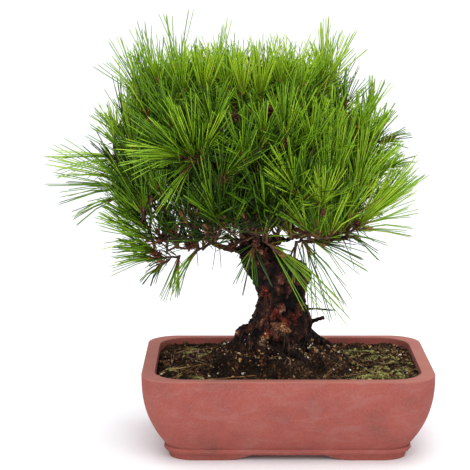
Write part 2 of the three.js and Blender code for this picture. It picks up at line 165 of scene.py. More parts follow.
def only(*pieces):
    """Selects these pieces and nothing else, and makes the last one active."""
    bpy.ops.object.select_all(action="DESELECT")
    for piece in pieces:
        piece.select_set(True)
    bpy.context.view_layer.objects.active = pieces[-1]


def edit(piece):
    only(piece)
    bpy.ops.object.mode_set(mode="EDIT")


def leave():
    bpy.ops.object.mode_set(mode="OBJECT")


def pick(piece, kind, test):
    """In edit mode, selects the vertices, edges or faces that pass a test."""
    bpy.ops.mesh.select_mode(type=kind)
    bpy.ops.mesh.select_all(action="DESELECT")
    shape = bmesh.from_edit_mesh(piece.data)
    row = {"VERT": shape.verts, "EDGE": shape.edges, "FACE": shape.faces}[kind]
    for item in row:
        if test(item):
            item.select_set(True)
    shape.select_flush_mode()
    bmesh.update_edit_mesh(piece.data)


def middle_of(item):
    return sum((v.co for v in item.verts), Vector()) / len(item.verts)


bpy.ops.mesh.primitive_plane_add(size=2 * FLOOR_HALF, location=(0, 0, 0))
floor = bpy.context.object
floor.name = "floor"
edit(floor)
pick(floor, "EDGE", lambda edge: all(v.co.y > FLOOR_HALF - 0.01 for v in edge.verts))
bpy.ops.mesh.extrude_region_move(TRANSFORM_OT_translate={"value": (0, 0, SWEEP_RISE)})
pick(floor, "EDGE", lambda edge: all(
    v.co.y > FLOOR_HALF - 0.01 and v.co.z < 0.01 for v in edge.verts))
bpy.ops.mesh.bevel(offset=SWEEP_ROUND, segments=12, affect="EDGES")
leave()
bpy.ops.object.shade_smooth()

PAPER_MM = 25
paper, tree, skin, place = new_finish("white_paper")
grain = add(tree, "TexNoise", {"Vector": place, "Scale": 1000 / PAPER_MM})
tone = add(tree, "ValToRGB", {"Fac": grain}, stops=[(0.3, "#F9FAFC"), (0.7, "#FBFCFE")])
feed(tree, skin, {"Base Color": tone, "Roughness": 0.9, "Specular IOR Level": 0.1})
coat(floor, paper)
print("floor", len(floor.data.polygons), "faces")

# %% [markdown]
# ## Light
# Soft light comes from large lamps. One big lamp stands in front on the right, where the
# photograph is a little brighter. A second, weaker one stands low in front on the left, and
# fills the shadows on the trunk and inside the rim. A third hangs over the tree, and a faintly
# blue world keeps the shade open, as a white room does.

# %% Lamps
LAMPS = [  # name, place and size in metres, and watts
    ("key", (1.0, -2.4, 2.0), 2.6, 40),
    ("fill", (-1.5, -2.2, 1.1), 2.2, 21),
    ("over", (0.1, 0.0, 2.4), 2.5, 41),
]
LAMPS_AIM = Vector((0, 0, 0.22))
WORLD = {"Color": (0.97, 0.98, 1, 1), "Strength": 0.58}
for name, place, size, power in LAMPS:
    bpy.ops.object.light_add(type="AREA", location=place)
    lamp = bpy.context.object
    lamp.name = name
    lamp.data.shape = "DISK"
    lamp.data.size = size
    lamp.data.energy = power
    lamp.rotation_euler = (LAMPS_AIM - lamp.location).to_track_quat("-Z", "Y").to_euler()
world = bpy.data.worlds.new("studio")
world.use_nodes = True
feed(world.node_tree, world.node_tree.nodes["Background"], WORLD)
bpy.context.scene.world = world
bpy.context.scene.view_settings.view_transform = "Standard"
print(len(LAMPS), "lamps")

# %% [markdown]
# ## Pot
# The pot is unglazed red clay, pressed in a mould: a rectangle with round corners whose walls tuck
# in towards the foot. It could be lofted, but a maker would start from a block, so we do too. The
# block's upright edges are bevelled, level cuts are made with bisect, and each level is drawn
# in by the same rule that the frame's pot follows.

# %% The pot's sizes and the rule of its wall
POT = {"width": 300, "depth": 206, "height": 90, "corner": 33, "inner_corner": 33, "floor": 17}
WALL = {"width": 13, "depth": 10}
TUCK = {"inset": 23.3, "from": 88, "over": 74, "power": 2.3}
WALL_LEVELS = [13, 16, 20, 25, 30, 35, 40, 46, 52, 59, 66, 73, 80]
LEDGE = {"bottom": 6.5, "edge": 9.8, "top": 12.6, "proud": 2, "slope": 2.2, "lean": 0.6}
NEAR = 0.05


def tuck(z):
    return TUCK["inset"] * max((TUCK["from"] - z) / TUCK["over"], 0) ** TUCK["power"]


def draw_in(piece, z, inset):
    """Moves the ring of vertices at a height inwards, as a smaller copy of the rim."""
    pick(piece, "VERT", lambda v: abs(v.co.z / MM - z) < NEAR)
    shares = [(POT[side] / 2 - inset) / (POT[side] / 2) for side in ("width", "depth")]
    bpy.ops.transform.resize(value=(*shares, 1), center_override=POT_MIDDLE)


def block(name, width, depth, low, high, corner, segments, cuts):
    """A block with round upright edges and a cut at each level, left in edit mode."""
    bpy.ops.object.select_all(action="DESELECT")
    bpy.ops.mesh.primitive_cube_add(size=1, location=at(0, 0, (low + high) / 2))
    made = bpy.context.object
    made.name = name
    made.scale = (width * MM, depth * MM, (high - low) * MM)
    bpy.ops.object.transform_apply(location=True, rotation=True, scale=True)
    edit(made)
    pick(made, "EDGE", lambda e: abs(e.verts[0].co.z - e.verts[1].co.z) > 0.01)
    bpy.ops.mesh.bevel(offset=corner * MM, segments=segments, affect="EDGES")
    for level in cuts:
        bpy.ops.mesh.select_all(action="SELECT")
        bpy.ops.mesh.bisect(plane_co=at(0, 0, level), plane_no=(0, 0, 1))
    return made


print("the wall tucks in by", round(tuck(WALL_LEVELS[0]), 1), "mm near the foot")

# %% The pot's block and its level cuts
low, high = LEDGE["bottom"], POT["height"]
pot = block("pot_of_red_clay", POT["width"], POT["depth"], low, high, POT["corner"], 12,
            [LEDGE["edge"], LEDGE["top"], *WALL_LEVELS])
ledge_inset = tuck(WALL_LEVELS[0]) - LEDGE["proud"]
draw_in(pot, LEDGE["bottom"], ledge_inset + LEDGE["slope"])
draw_in(pot, LEDGE["edge"], ledge_inset)
draw_in(pot, LEDGE["top"], ledge_inset + LEDGE["lean"])
for level in WALL_LEVELS:
    draw_in(pot, level, tuck(level))
print("pot block:", len(pot.data.vertices), "points before the cuts")

# %% [markdown]
# The hollow is made from the top face: it is inset by the wall's thickness and pushed down, step
# by step, while each step is drawn in by the same tuck as the outside, so that the wall
# keeps its thickness. The mould's inner corners are rounder than an even inset gives, which makes
# the rim wider there, so each corner's arc is first made larger about its sharp corner.

# %% The hollow
INNER_LEVELS = [83, 72, 57, 40, 26, 17]


def on_top(face):
    return face.normal.z > 0.9 and middle_of(face).z > (high - 1) * MM


def central(face):
    return in_mm(middle_of(face)).xy.length < 1


pick(pot, "FACE", on_top)
bpy.ops.mesh.inset(thickness=WALL["width"] * MM, depth=0)
sharp_x, sharp_y = (POT[side] / 2 - WALL[side] for side in ("width", "depth"))
thinner = sharp_y / (POT["depth"] / 2 - WALL["width"])
bpy.ops.transform.resize(value=(1, thinner, 1), center_override=POT_MIDDLE)
inset_corner = POT["corner"] - WALL["width"]
rounder = POT["inner_corner"] / inset_corner
ARC_SLACK = 1.5


def in_corner_arc(v, way_x, way_y):
    here = in_mm(v.co)
    within = (sharp_x - way_x * here.x, sharp_y - way_y * here.y)
    return (abs(here.z - high) < NEAR
            and all(-0.1 < gap < inset_corner + ARC_SLACK for gap in within))


for way_x in (-1, 1):
    for way_y in (-1, 1):
        pick(pot, "VERT", lambda v: in_corner_arc(v, way_x, way_y))
        bpy.ops.transform.resize(value=(rounder, rounder, 1),
                                 center_override=at(way_x * sharp_x, way_y * sharp_y, high))
pick(pot, "FACE", lambda f: on_top(f) and central(f))
above = high
for level in INNER_LEVELS:
    bpy.ops.mesh.extrude_region_move(TRANSFORM_OT_translate={"value": (0, 0, (level - above) * MM)})
    shares = [(side - tuck(level)) / (side - tuck(above)) for side in (sharp_x, sharp_y)]
    bpy.ops.transform.resize(value=(*shares, 1), center_override=POT_MIDDLE)
    above = level
print("hollow:", round(2 * sharp_x), "by", round(2 * sharp_y), "mm at the rim")

# %% [markdown]
# The pot stands on four corner feet. A ring is inset on the underside, cut across where the feet
# end, and only its corner parts are pushed down to the table. The narrow strip outside it is
# hidden meanwhile, so that it stays behind as the ledge's underside. The underside of each foot
# then rises towards its gap in a soft curve, as the photograph shows.

# %% The feet
FOOT = {"outer": 26, "width": 21, "flare": 1.6}
FOOT_GAPS = {"front": (35, 69), "side": (18, 40)}
GAP_CUTS = [0, 0.12, 0.28, 0.5, 0.75, 1]


def gap_rise(along, span):
    """How far the foot's underside has risen, as a share, at a place along its side."""
    start, end = span
    return min(max((end - abs(along)) / (end - start), 0), 1) ** 2


def underside(face):
    return face.normal.z < -0.9 and middle_of(face).z < (low + 1) * MM


pick(pot, "FACE", underside)
bpy.ops.mesh.inset(thickness=(FOOT["outer"] - ledge_inset - LEDGE["slope"]) * MM, depth=0)
pick(pot, "FACE", lambda f: underside(f) and not central(f))
bpy.ops.mesh.hide()
pick(pot, "FACE", lambda f: underside(f) and central(f))
bpy.ops.mesh.inset(thickness=FOOT["width"] * MM, depth=0)
inner_half = [POT[side] / 2 - FOOT["outer"] - FOOT["width"] for side in ("width", "depth")]


def under_ring(face):
    here = in_mm(middle_of(face))
    within = abs(here.x) < inner_half[0] - 0.5 and abs(here.y) < inner_half[1] - 0.5
    return face.normal.z < -0.9 and abs(here.z - low) < NEAR and not within


for axis, (start, end) in ((0, FOOT_GAPS["front"]), (1, FOOT_GAPS["side"])):
    for share in GAP_CUTS:
        for side in (-1, 1):
            cut = [0, 0, 0]
            cut[axis] = side * (start + (end - start) * share)
            square = [0, 0, 0]
            square[axis] = 1
            pick(pot, "FACE", under_ring)
            bpy.ops.mesh.bisect(plane_co=at(*cut), plane_no=square)


def in_a_foot(face):
    if not under_ring(face):
        return False
    here = in_mm(middle_of(face))
    on_front = abs(here.y) > inner_half[1] and abs(here.x) < inner_half[0]
    on_side = abs(here.x) > inner_half[0] and abs(here.y) < inner_half[1]
    return not (on_front and abs(here.x) < FOOT_GAPS["front"][0]
                or on_side and abs(here.y) < FOOT_GAPS["side"][0])


pick(pot, "FACE", in_a_foot)
bpy.ops.mesh.extrude_region_move(TRANSFORM_OT_translate={"value": (0, 0, -low * MM)})
flare = [1 - FOOT["flare"] / (POT[side] / 2 - FOOT["outer"]) for side in ("width", "depth")]
bpy.ops.transform.resize(value=(*flare, 1), center_override=POT_MIDDLE)
shape = bmesh.from_edit_mesh(pot.data)
for v in shape.verts:
    here = in_mm(v.co)
    if here.z > NEAR:
        continue
    span = "front" if abs(here.x) < inner_half[0] - 1 else "side"
    along = here.x if span == "front" else here.y
    v.co.z += low * MM * gap_rise(along, FOOT_GAPS[span])
bmesh.update_edit_mesh(pot.data)
bpy.ops.mesh.reveal(select=False)
bpy.ops.mesh.select_all(action="SELECT")
bpy.ops.mesh.remove_doubles(threshold=0.02 * MM)
bpy.ops.mesh.normals_make_consistent(inside=False)
leave()
print("pot:", len(pot.data.polygons), "faces")

# %% [markdown]
# Two drain holes go through the floor, and no edge of a clay pot is sharp: hands smooth it while
# it is wet. A Boolean drills the holes, and a bevel modifier takes the edges off.

# %% Drain holes and soft edges
DRAIN = {"radius": 8, "offset": 62, "sides": 28}
CLAY_EDGE = 1.3


def apply_all(piece):
    only(piece)
    for change in list(piece.modifiers):
        bpy.ops.object.modifier_apply(modifier=change.name)


for side in (-1, 1):
    bpy.ops.mesh.primitive_cylinder_add(
        radius=DRAIN["radius"] * MM, depth=3 * POT["floor"] * MM, vertices=DRAIN["sides"],
        location=at(side * DRAIN["offset"], 0, 0))
    drill = bpy.context.object
    change = pot.modifiers.new("drain", "BOOLEAN")
    change.operation = "DIFFERENCE"
    change.solver = "EXACT"
    change.object = drill
    apply_all(pot)
    bpy.data.objects.remove(drill)
change = pot.modifiers.new("soft_edges", "BEVEL")
change.width = CLAY_EDGE * MM
change.segments = 3
change.limit_method = "ANGLE"
change.angle_limit = math.radians(38)
change.use_clamp_overlap = True
apply_all(pot)
bpy.ops.object.shade_smooth_by_angle(angle=math.radians(32))
print("pot:", len(pot.data.polygons), "faces, box", [round(v, 4) for v in pot.dimensions])

# %% [markdown]
# Unglazed red clay fires to a dusty brick pink. Its colour drifts in soft clouds, greyer where
# water has left salts, and it is full of fine grog, the ground fired clay that is mixed in
# for strength. It has no gloss at all. The grog is about 0.4 mm, finer than a pixel here, so
# it is drawn at 1.2 mm to be seen.

# %% Fired red clay
GROG_MM = 1.2
CLOUD_MM = 42
SMEAR_MM = 34
HAND_MM = 16
RIM_TOP_PALER = (88.2, 89.9)
fired_clay, tree, skin, place = new_finish("fired_red_clay")
clouds = add(tree, "TexNoise", {
    "Vector": place, "Scale": 1000 / CLOUD_MM, "Detail": 4.0, "Roughness": 0.62})
grog = add(tree, "TexNoise", {"Vector": place, "Scale": 1000 / GROG_MM, "Detail": 2.0})
body = add(tree, "ValToRGB", {"Fac": clouds}, stops=[
    (0.28, "#7E4841"), (0.45, "#944C44"), (0.58, "#9B5046"), (0.75, "#9A5C54")])
specks = add(tree, "ValToRGB", {"Fac": grog}, stops=[
    (0.36, "#7A4038"), (0.5, "#9A5449"), (0.68, "#B47A6C")])
speckled = add(tree, "Mix", {"Factor": 0.2, 6: body, 7: specks}, data_type="RGBA")
stretched = add(tree, "Mapping", {"Vector": place, "Scale": (1.0, 1.0, 2.6)})
smears = add(tree, "TexNoise", {
    "Vector": stretched, "Scale": 1000 / SMEAR_MM, "Detail": 6.0,
    "Roughness": 0.72, "Distortion": 0.6})
salt_share = add(tree, "MapRange", {
    "Value": smears, "From Min": 0.48, "From Max": 0.76, "To Min": 0.0,
    "To Max": 0.42}, clamp=True)
salted = add(tree, "Mix", {"Factor": salt_share, 6: speckled, 7: paint("#A07874")},
             data_type="RGBA")
# The flat top of the rim, between two heights, is mixed towards a paler pink.
height_part = add(tree, "SeparateXYZ", {"Vector": place})
paler_rim_top = add(tree, "MapRange", {
    "Value": height_part.outputs["Z"], "From Min": RIM_TOP_PALER[0] * MM, "From Max": RIM_TOP_PALER[1] * MM,
    "To Min": 0.0, "To Max": 0.45}, clamp=True)
paler_at_rim_top = add(tree, "Mix", {"Factor": paler_rim_top, 6: salted, 7: paint("#B87C6E")},
             data_type="RGBA")
hand = add(tree, "TexNoise", {"Vector": place, "Scale": 1000 / HAND_MM, "Detail": 2.0})
waves = add(tree, "Bump", {"Height": hand, "Strength": 0.25, "Distance": 1.2 * MM})
grit_bump = add(tree, "Bump", {
    "Height": grog, "Normal": waves, "Strength": 0.3, "Distance": 0.3 * MM})
feed(tree, skin, {"Base Color": paler_at_rim_top, "Roughness": 0.86, "Specular IOR Level": 0.3,
                  "Normal": grit_bump})
coat(pot, fired_clay)
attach(pot, "root")
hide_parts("pot")
print("pot finished")

# %% [markdown]
# ## Soil
# The pine stands on a mound: its old root ball rises above the rim and falls away to a level near
# the wall. A sheet would do from the front, but a library part is seen from all sides, so the soil
# is one closed block that fills the pot. It is cut to the pot's own hollow, remeshed into even
# faces, and its top is then lifted by the mound's rule and by the lumps of the ground.

# %% The block of soil
SOIL = {"level": 83, "rise": 18, "plateau": 54, "spread": 19, "middle_x": -10}
SOIL_FACE = 2.2
SOIL_GAP = 0.1
SOIL_LUMP = {"size": 13, "height": 2.2}
SOIL_CRUMB = {"size": 4.2, "height": 1.3}


def soil_height(x, y):
    away = max(math.hypot(x - SOIL["middle_x"], y) - SOIL["plateau"], 0)
    return SOIL["level"] + SOIL["rise"] * math.exp(-((away / SOIL["spread"]) ** 2))


def ground_height(x, y):
    """The soil's height with its lumps and crumbs, in mm."""
    lump = noise.noise(Vector((x, y, 3)) / SOIL_LUMP["size"]) * SOIL_LUMP["height"]
    crumb = noise.noise(Vector((x, y, 9)) / SOIL_CRUMB["size"]) * SOIL_CRUMB["height"]
    return soil_height(x, y) + lump + crumb


soil = block("soil_of_the_root_ball", 2 * sharp_x, 2 * sharp_y, POT["floor"], SOIL["level"],
             POT["inner_corner"], 10, INNER_LEVELS[1:-1])
for level in INNER_LEVELS:
    pick(soil, "VERT", lambda v: abs(v.co.z / MM - level) < NEAR)
    shares = [1 - (tuck(level) + SOIL_GAP) / half for half in (sharp_x, sharp_y)]
    bpy.ops.transform.resize(value=(*shares, 1), center_override=POT_MIDDLE)
leave()
change = soil.modifiers.new("even_faces", "REMESH")
change.mode = "VOXEL"
change.voxel_size = SOIL_FACE * MM
apply_all(soil)
for v in soil.data.vertices:
    here = in_mm(v.co)
    if here.z > SOIL["level"] - 2 * SOIL_FACE:
        share = min(max((here.z - SOIL["level"] + 2 * SOIL_FACE) / (1.5 * SOIL_FACE), 0), 1)
        v.co.z += (ground_height(here.x, here.y) - SOIL["level"]) * MM * share
bpy.ops.object.shade_smooth()
print("soil:", len(soil.data.polygons), "faces")

# %% [markdown]
# Potting soil for a pine is a dark mix of decayed bark and loam. Wet, it is nearly black, and dry
# crumbs are a warm brown. It scatters light and hardly shines. The crumbs are about 2.4 mm, and
# broad damp patches of about 30 mm drift across them.

# %% Dark potting soil
CRUMB_MM = 2.4
DAMP_MM = 30
potting_soil, tree, skin, place = new_finish("dark_potting_soil")
damp = add(tree, "TexNoise", {"Vector": place, "Scale": 1000 / DAMP_MM, "Detail": 3.0})
crumbs = add(tree, "TexNoise", {
    "Vector": place, "Scale": 1000 / CRUMB_MM, "Detail": 3.0, "Roughness": 0.7})
mixed = add(tree, "Math", {0: crumbs, 1: damp}, operation="ADD")
halved = add(tree, "Math", {0: mixed, 1: 0.5}, operation="MULTIPLY")
earth = add(tree, "ValToRGB", {"Fac": halved}, stops=[
    (0.37, "#070403"), (0.47, "#17100B"), (0.56, "#312318"), (0.65, "#7B6046")])
rough_ground = add(tree, "Bump", {"Height": crumbs, "Strength": 0.9, "Distance": 1.6 * MM})
feed(tree, skin, {"Base Color": earth, "Roughness": 0.95, "Specular IOR Level": 0.08,
                  "Normal": rough_ground})
coat(soil, potting_soil)
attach(soil, "root")
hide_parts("soil")
print("soil finished")

# %% [markdown]
# ## Trunk
# This trunk was grown thick and then sawn off, so that a side shoot could take over as the new
# leader. The old stump ends in a sloping face that has since been overgrown with bark. It starts
# as a circle on the ground that is extruded upwards, slice by slice, to the widths and
# places of the frame's trunk, and a subdivision surface rounds it.

# %% The thick lower trunk
TRUNK_SLICES = [  # height, middle, half width and half depth
    (94, -12, 46, 41), (98, -12, 45, 40), (110, -11, 42, 38), (120, -9, 38, 35),
    (130, -7, 33, 31), (141, -5, 28, 28), (153, -5.5, 25.5, 26), (166, -6, 27.5, 26),
    (178, -8, 33, 28), (190, -12, 36, 28), (204, -24, 27, 25), (214, -34, 17, 18),
]
TRUNK_SIDES = 16
SAWN_FACE = {"x": 27, "z": 186, "fall": math.radians(27)}
LOBES = [(3, 0.045, 0.05), (7, 0.03, -0.09)]  # how many go round, how deep, how they wind


def lobe(turn, z):
    """How far the trunk swells at a turn round it and a height, as a share."""
    return sum((deep * math.sin(many * turn + wind * z) for many, deep, wind in LOBES), 1)


z, x, rx, ry = TRUNK_SLICES[0]
bpy.ops.object.select_all(action="DESELECT")
bpy.ops.mesh.primitive_circle_add(vertices=TRUNK_SIDES, radius=MM, fill_type="NGON",
                                  location=at(x, 0, z))
trunk = bpy.context.object
trunk.name = "trunk_and_boughs_with_bark"
bpy.ops.object.transform_apply(location=True, rotation=True, scale=True)
edit(trunk)
bpy.ops.mesh.select_all(action="SELECT")
bpy.ops.transform.resize(value=(rx, ry, 1), center_override=at(x, 0, z))
for (z0, x0, rx0, ry0), (z1, x1, rx1, ry1) in zip(TRUNK_SLICES, TRUNK_SLICES[1:]):
    bpy.ops.mesh.extrude_region_move(
        TRANSFORM_OT_translate={"value": ((x1 - x0) * MM, 0, (z1 - z0) * MM)})
    bpy.ops.transform.resize(value=(rx1 / rx0, ry1 / ry0, 1), center_override=at(x1, 0, z1))
leave()
for v in trunk.data.vertices:
    here = in_mm(v.co)
    middle_x = min(TRUNK_SLICES, key=lambda row: abs(row[0] - here.z))[1]
    share = lobe(math.atan2(here.y, here.x - middle_x), here.z)
    v.co = at(middle_x + (here.x - middle_x) * share, here.y * share, here.z)
change = trunk.modifiers.new("round", "SUBSURF")
change.levels = change.render_levels = 2
apply_all(trunk)
edit(trunk)
bpy.ops.mesh.select_all(action="SELECT")
bpy.ops.mesh.bisect(
    plane_co=at(SAWN_FACE["x"], 0, SAWN_FACE["z"]),
    plane_no=(math.sin(SAWN_FACE["fall"]), 0, math.cos(SAWN_FACE["fall"])),
    use_fill=True, clear_outer=True)
bpy.ops.mesh.select_all(action="SELECT")
bpy.ops.mesh.normals_make_consistent(inside=False)
leave()
print("lower trunk:", len(trunk.data.polygons), "faces")

# %% [markdown]
# ## Limbs
# From here on the tree grows by rule, and it is the frame's own rule: the leader's places and the
# crown's masses are the driving sizes, and each bough runs from the leader to the space where its
# mass begins. A bough's start, bow and end all follow from those sizes.

# %% The leader and the masses of the crown
LEADER = [  # place and radius
    ((-29, 0, 178), 9), ((-37, 0, 200), 13), ((-39, 1, 214), 11.5), ((-41, 2, 232), 8.8),
    ((-40, 4, 258), 8), ((-37, 2, 298), 7), ((-46, -1, 336), 5), ((-68, 0, 360), 3),
]
MASSES = {  # middle, half sizes, shoots, and the height at which the bough leaves the leader
    "apex": ((-106, 0, 376), (40, 42, 20), 10, None),
    "top": ((-38, -8, 374), (36, 44, 26), 10, 344),
    "upper_right": ((30, -5, 358), (38, 44, 30), 9, 323),
    "upper_left": ((-150, -8, 326), (42, 46, 30), 11, 313),
    "front_left": ((-92, -56, 306), (40, 36, 38), 14, 287),
    "front_right": ((-16, -62, 306), (40, 36, 38), 14, 300),
    "left": ((-158, -14, 264), (42, 46, 26), 11, 260),
    "right": ((66, -8, 286), (32, 50, 32), 11, 270),
    "lower_left": ((-114, -12, 226), (42, 50, 18), 11, 207),
    "lower_right": ((52, -18, 232), (36, 44, 18), 10, 219),
    "front_low": ((-16, -66, 246), (42, 30, 24), 10, 230),
    "front_left_low": ((-84, -62, 252), (32, 30, 22), 8, 241),
    "back_low": ((-30, 62, 238), (50, 32, 24), 9, 236),
    "back_high": ((-30, 60, 332), (46, 32, 36), 10, 333),
    "back_left": ((-112, 60, 288), (38, 34, 38), 9, 278),
    "back_right": ((42, 60, 280), (36, 32, 36), 9, 251),
}
CROWN_MIDDLE = np.array((-42.0, 0.0, 240.0))
BOUGH = {"base": 4.2, "tip": 2.6, "bow": 0.1, "entry": 0.8}


def spot(point):
    return np.array(point, float)


def long(vector):
    return float(np.linalg.norm(vector))


def split(rows):
    """The places and the radii of a limb."""
    return [spot(point) for point, _ in rows], [radius for _, radius in rows]


def leader_at(z):
    k = max(next(i for i, (point, _) in enumerate(LEADER) if point[2] > z), 1)
    a, b = spot(LEADER[k - 1][0]), spot(LEADER[k][0])
    return a + (b - a) * (z - a[2]) / (b[2] - a[2])


def bough_path(name):
    middle, half, _, leaves_at = MASSES[name]
    if leaves_at is None:
        return split(LEADER[-2:])
    start = leader_at(leaves_at)
    back = start - spot(middle)
    end = spot(middle) + back * BOUGH["entry"] / long(back / spot(half))
    lift = BOUGH["bow"] * long(end - start) * (1 if start[2] > end[2] else -1)
    points = []
    for share in (0, 0.33, 0.67, 1):
        point = start + (end - start) * share
        point[2] += lift * math.sin(math.pi * share)
        points.append(point)
    radii = [BOUGH["base"] + (BOUGH["tip"] - BOUGH["base"]) * k / 3 for k in range(4)]
    return points, radii


BOUGHS = {name: bough_path(name) for name in MASSES}
print(len(BOUGHS), "boughs, the longest",
      round(max(long(p[-1] - p[0]) for p, _ in BOUGHS.values())), "mm")

# %% [markdown]
# Roots follow a rule too. They leave the foot of the trunk all round, as buttresses first, bend a
# little, and run down the bank until the soil covers them. One seeded row of numbers, `dice`,
# gives the chances in the growth of the wood, so that it grows the same way each time.

# %% Roots and dead twigs
ROOTS = {"count": 8, "first": 196, "stray": 14, "bend": 0.35, "shorter": 0.2, "thick": 9.5,
         "first_thicker": 1.35, "thinnest": 0.75, "varies": 0.35, "seed": 41}
# Distance out, share of its bend, height above the mound, and share of its thickness
ROOT_STEPS = [(14, 0, 22, 1.25), (34, 0.2, 10, 1.1), (46, 0.6, 3, 0.8), (58, 1, 0.5, 0.55)]
ROOT_TAIL = [(68, 1.25, 0.42), (79, 1.4, 0.3)]
SUNK = 1.6
SHOULDER = [((2, -4, 180), 11), ((14, -5, 180), 10.5), ((21, -5, 178.5), 8.2), ((25, -5, 176), 5)]
DEAD_TAPER = (1, 0.8, 0.7, 0.45)
DEAD_TWIGS = [([(14, -6, 143), (30, -7, 144.5), (42, -8, 143.5), (54, -8, 143)], 2.0),
              ([(14, -4, 128), (28, -5, 131), (40, -6, 135)], 3.6)]


def dice(seed):
    state = seed

    def roll():
        nonlocal state
        state = state * 16807 % 2147483647
        return state / 2147483647
    return roll


def stray(roll, width):
    return width * (roll() - 0.5)


def root_paths():
    roll = dice(ROOTS["seed"])
    paths = []
    for k in range(ROOTS["count"]):
        turn = math.radians(ROOTS["first"] + 360 * k / ROOTS["count"]
                            + stray(roll, ROOTS["stray"]))
        bend = stray(roll, ROOTS["bend"])
        reach = 1 - ROOTS["shorter"] * roll()
        thick = ROOTS["thick"] * (ROOTS["first_thicker"] if k == 0
                                  else ROOTS["thinnest"] + ROOTS["varies"] * roll())
        points, radii = [], []
        for out, share, lift, size in ROOT_STEPS:
            far = out * (1 + (reach - 1) * share)
            x = SOIL["middle_x"] + far * math.cos(turn + bend * share)
            y = far * math.sin(turn + bend * share)
            points.append(spot((x, y, SOIL["level"] + SOIL["rise"] + lift)))
            radii.append(thick * size)
        for out, share, size in ROOT_TAIL:
            x = SOIL["middle_x"] + out * reach * math.cos(turn + bend * share)
            y = out * reach * math.sin(turn + bend * share)
            points.append(spot((x, y, ground_height(x, y) - SUNK)))
            radii.append(thick * size)
        paths.append((points, radii))
    return paths


def smooth(points, radii, step=4.0):
    """A soft curve through the points of a limb, with a radius at each of its steps."""
    rows = np.array([[*p, r] for p, r in zip(points, radii)], float)
    ends = np.vstack([2 * rows[0] - rows[1], rows, 2 * rows[-1] - rows[-2]])
    made = []
    for a, b, c, d in zip(ends, ends[1:], ends[2:], ends[3:]):
        count = max(int(long((c - b)[:3]) / step), 1)
        for t in np.arange(count) / count:
            made.append(0.5 * (2 * b + (c - a) * t + (2 * a - 5 * b + 4 * c - d) * t * t
                               + (3 * b - a - 3 * c + d) * t ** 3))
    made.append(rows[-1])
    made = np.array(made)
    return made[:, :3], np.maximum(made[:, 3], 0.2)


def tubes(name, limbs, rounds):
    """One mesh of tubes, drawn as curves with a radius at each point, with closed ends."""
    lines = bpy.data.curves.new(name, "CURVE")
    lines.dimensions = "3D"
    lines.bevel_depth = MM
    lines.bevel_resolution = rounds
    lines.use_fill_caps = True
    for points, radii in limbs:
        line = lines.splines.new("POLY")
        line.points.add(len(points) - 1)
        for knot, point, radius in zip(line.points, points, radii):
            knot.co = (*at(*point), 1)
            knot.radius = radius
    made = bpy.data.objects.new(name, lines)
    bpy.context.scene.collection.objects.link(made)
    only(made)
    bpy.ops.object.convert(target="MESH")
    return bpy.context.object


# %% [markdown]
# All the limbs are drawn as curves that swell and thin along their length, which is how a branch
# is drawn by hand. They are turned into tubes, joined to the trunk, and a voxel remesh melts the
# lot into one skin, so that every fork has the soft collar of a real one.

# %% One skin for trunk, roots and boughs
BARK_FACE = 1.25
COLLAR = [1.7, 1.1, 1.0, 1.0]
limbs = [smooth(*split(LEADER))]
limbs += [smooth(*path) for path in root_paths()]
limbs.append(smooth(*split(SHOULDER)))
limbs += [smooth([spot(p) for p in points], [r * thin for thin, _ in zip(DEAD_TAPER, points)])
          for points, r in DEAD_TWIGS]
limbs += [smooth(points, [r * wide for r, wide in zip(radii, COLLAR)])
          for name, (points, radii) in BOUGHS.items() if name != "apex"]
limb_tubes = tubes("limbs", limbs, 4)
only(limb_tubes, trunk)
bpy.ops.object.join()
change = trunk.modifiers.new("one_skin", "REMESH")
change.mode = "VOXEL"
change.voxel_size = BARK_FACE * MM
change = trunk.modifiers.new("settle", "SMOOTH")
change.factor = 0.5
change.iterations = 3
apply_all(trunk)
print("trunk and boughs:", len(trunk.data.vertices), "points")

# %% [markdown]
# Old pine bark breaks into plates. Their edges lift, flakes fall, and the cracks between them are
# nearly black. The relief is worked out point by point: cells that are longer than they
# are wide make the plates, but their outlines are bent by noise twice, because bark never
# tears along a straight line. Each plate lies at its own level and tilts a little, like a worn
# shingle. Plates shrink with the limb, from a centimetre on the stump to fine scales on a
# bough. Low on the front the old wood swells over a hollow, where the roots begin. How deep
# each point lies in a crack or in that hollow is kept as an attribute, and the finish darkens
# those places to near black, partly the cracks' own dark and partly painted shade. How high
# each plate stands is kept too, and the finish lightens the raised plates as painted light.
#
# Blender starts `noise_vector` from the clock, so the bends differ from run to run, and so does
# a little of what is laid against the bark later. Setting `noise.seed_set` first would fix them.

# %% The bark's relief
PLATE = {"share": 0.3, "least": 2.4, "most": 8.5, "flat": 0.66, "deep": 0.26}
CRACK = {"share": 0.22, "unbroken": 0.6, "breaks": 1.5, "break_size": 6}
# Grain in mm, and how far it bends a plate's outline or lifts the wood
BEND_WIDE, BEND_FINE = (12, 4.2), (4, 1.5)
KNOB = {"size": 15, "lift": 0.1, "widest": 22}
FLAKE_MM = 1.9
RELIEF = {"level": 0.6, "tilt": 0.6, "crack": 1.0, "chip": 0.5, "flake": 0.4}
SCARS = {  # places where a flake has come away, and algae on the old cut: middle, reach
    "tan": [((-6, -32, 129), 8), ((0, -33, 126), 6), ((-25, -35, 118), 4), ((10, -38, 113), 3)],
    "red": [((-25, -22, 164), 9), ((10, -26, 141), 8), ((-14, -28, 143), 8), ((-2, -30, 136), 7),
            ((-22, -33, 124), 7), ((8, -12, 172), 6), ((-8, 26, 150), 9), ((20, 14, 166), 8)],
    "green": [((20, -6, 186), 15), ((26, -6, 178), 8), ((-2, -20, 196), 8), ((4, 14, 194), 10)],
}
BROW = {"x": -6, "half": 26, "swell_z": 130, "swell": 2.4, "hollow_z": 115, "hollow": 5.5}
YOUNG = {"radius": 9, "over": 5, "from_z": 185, "over_z": 30}


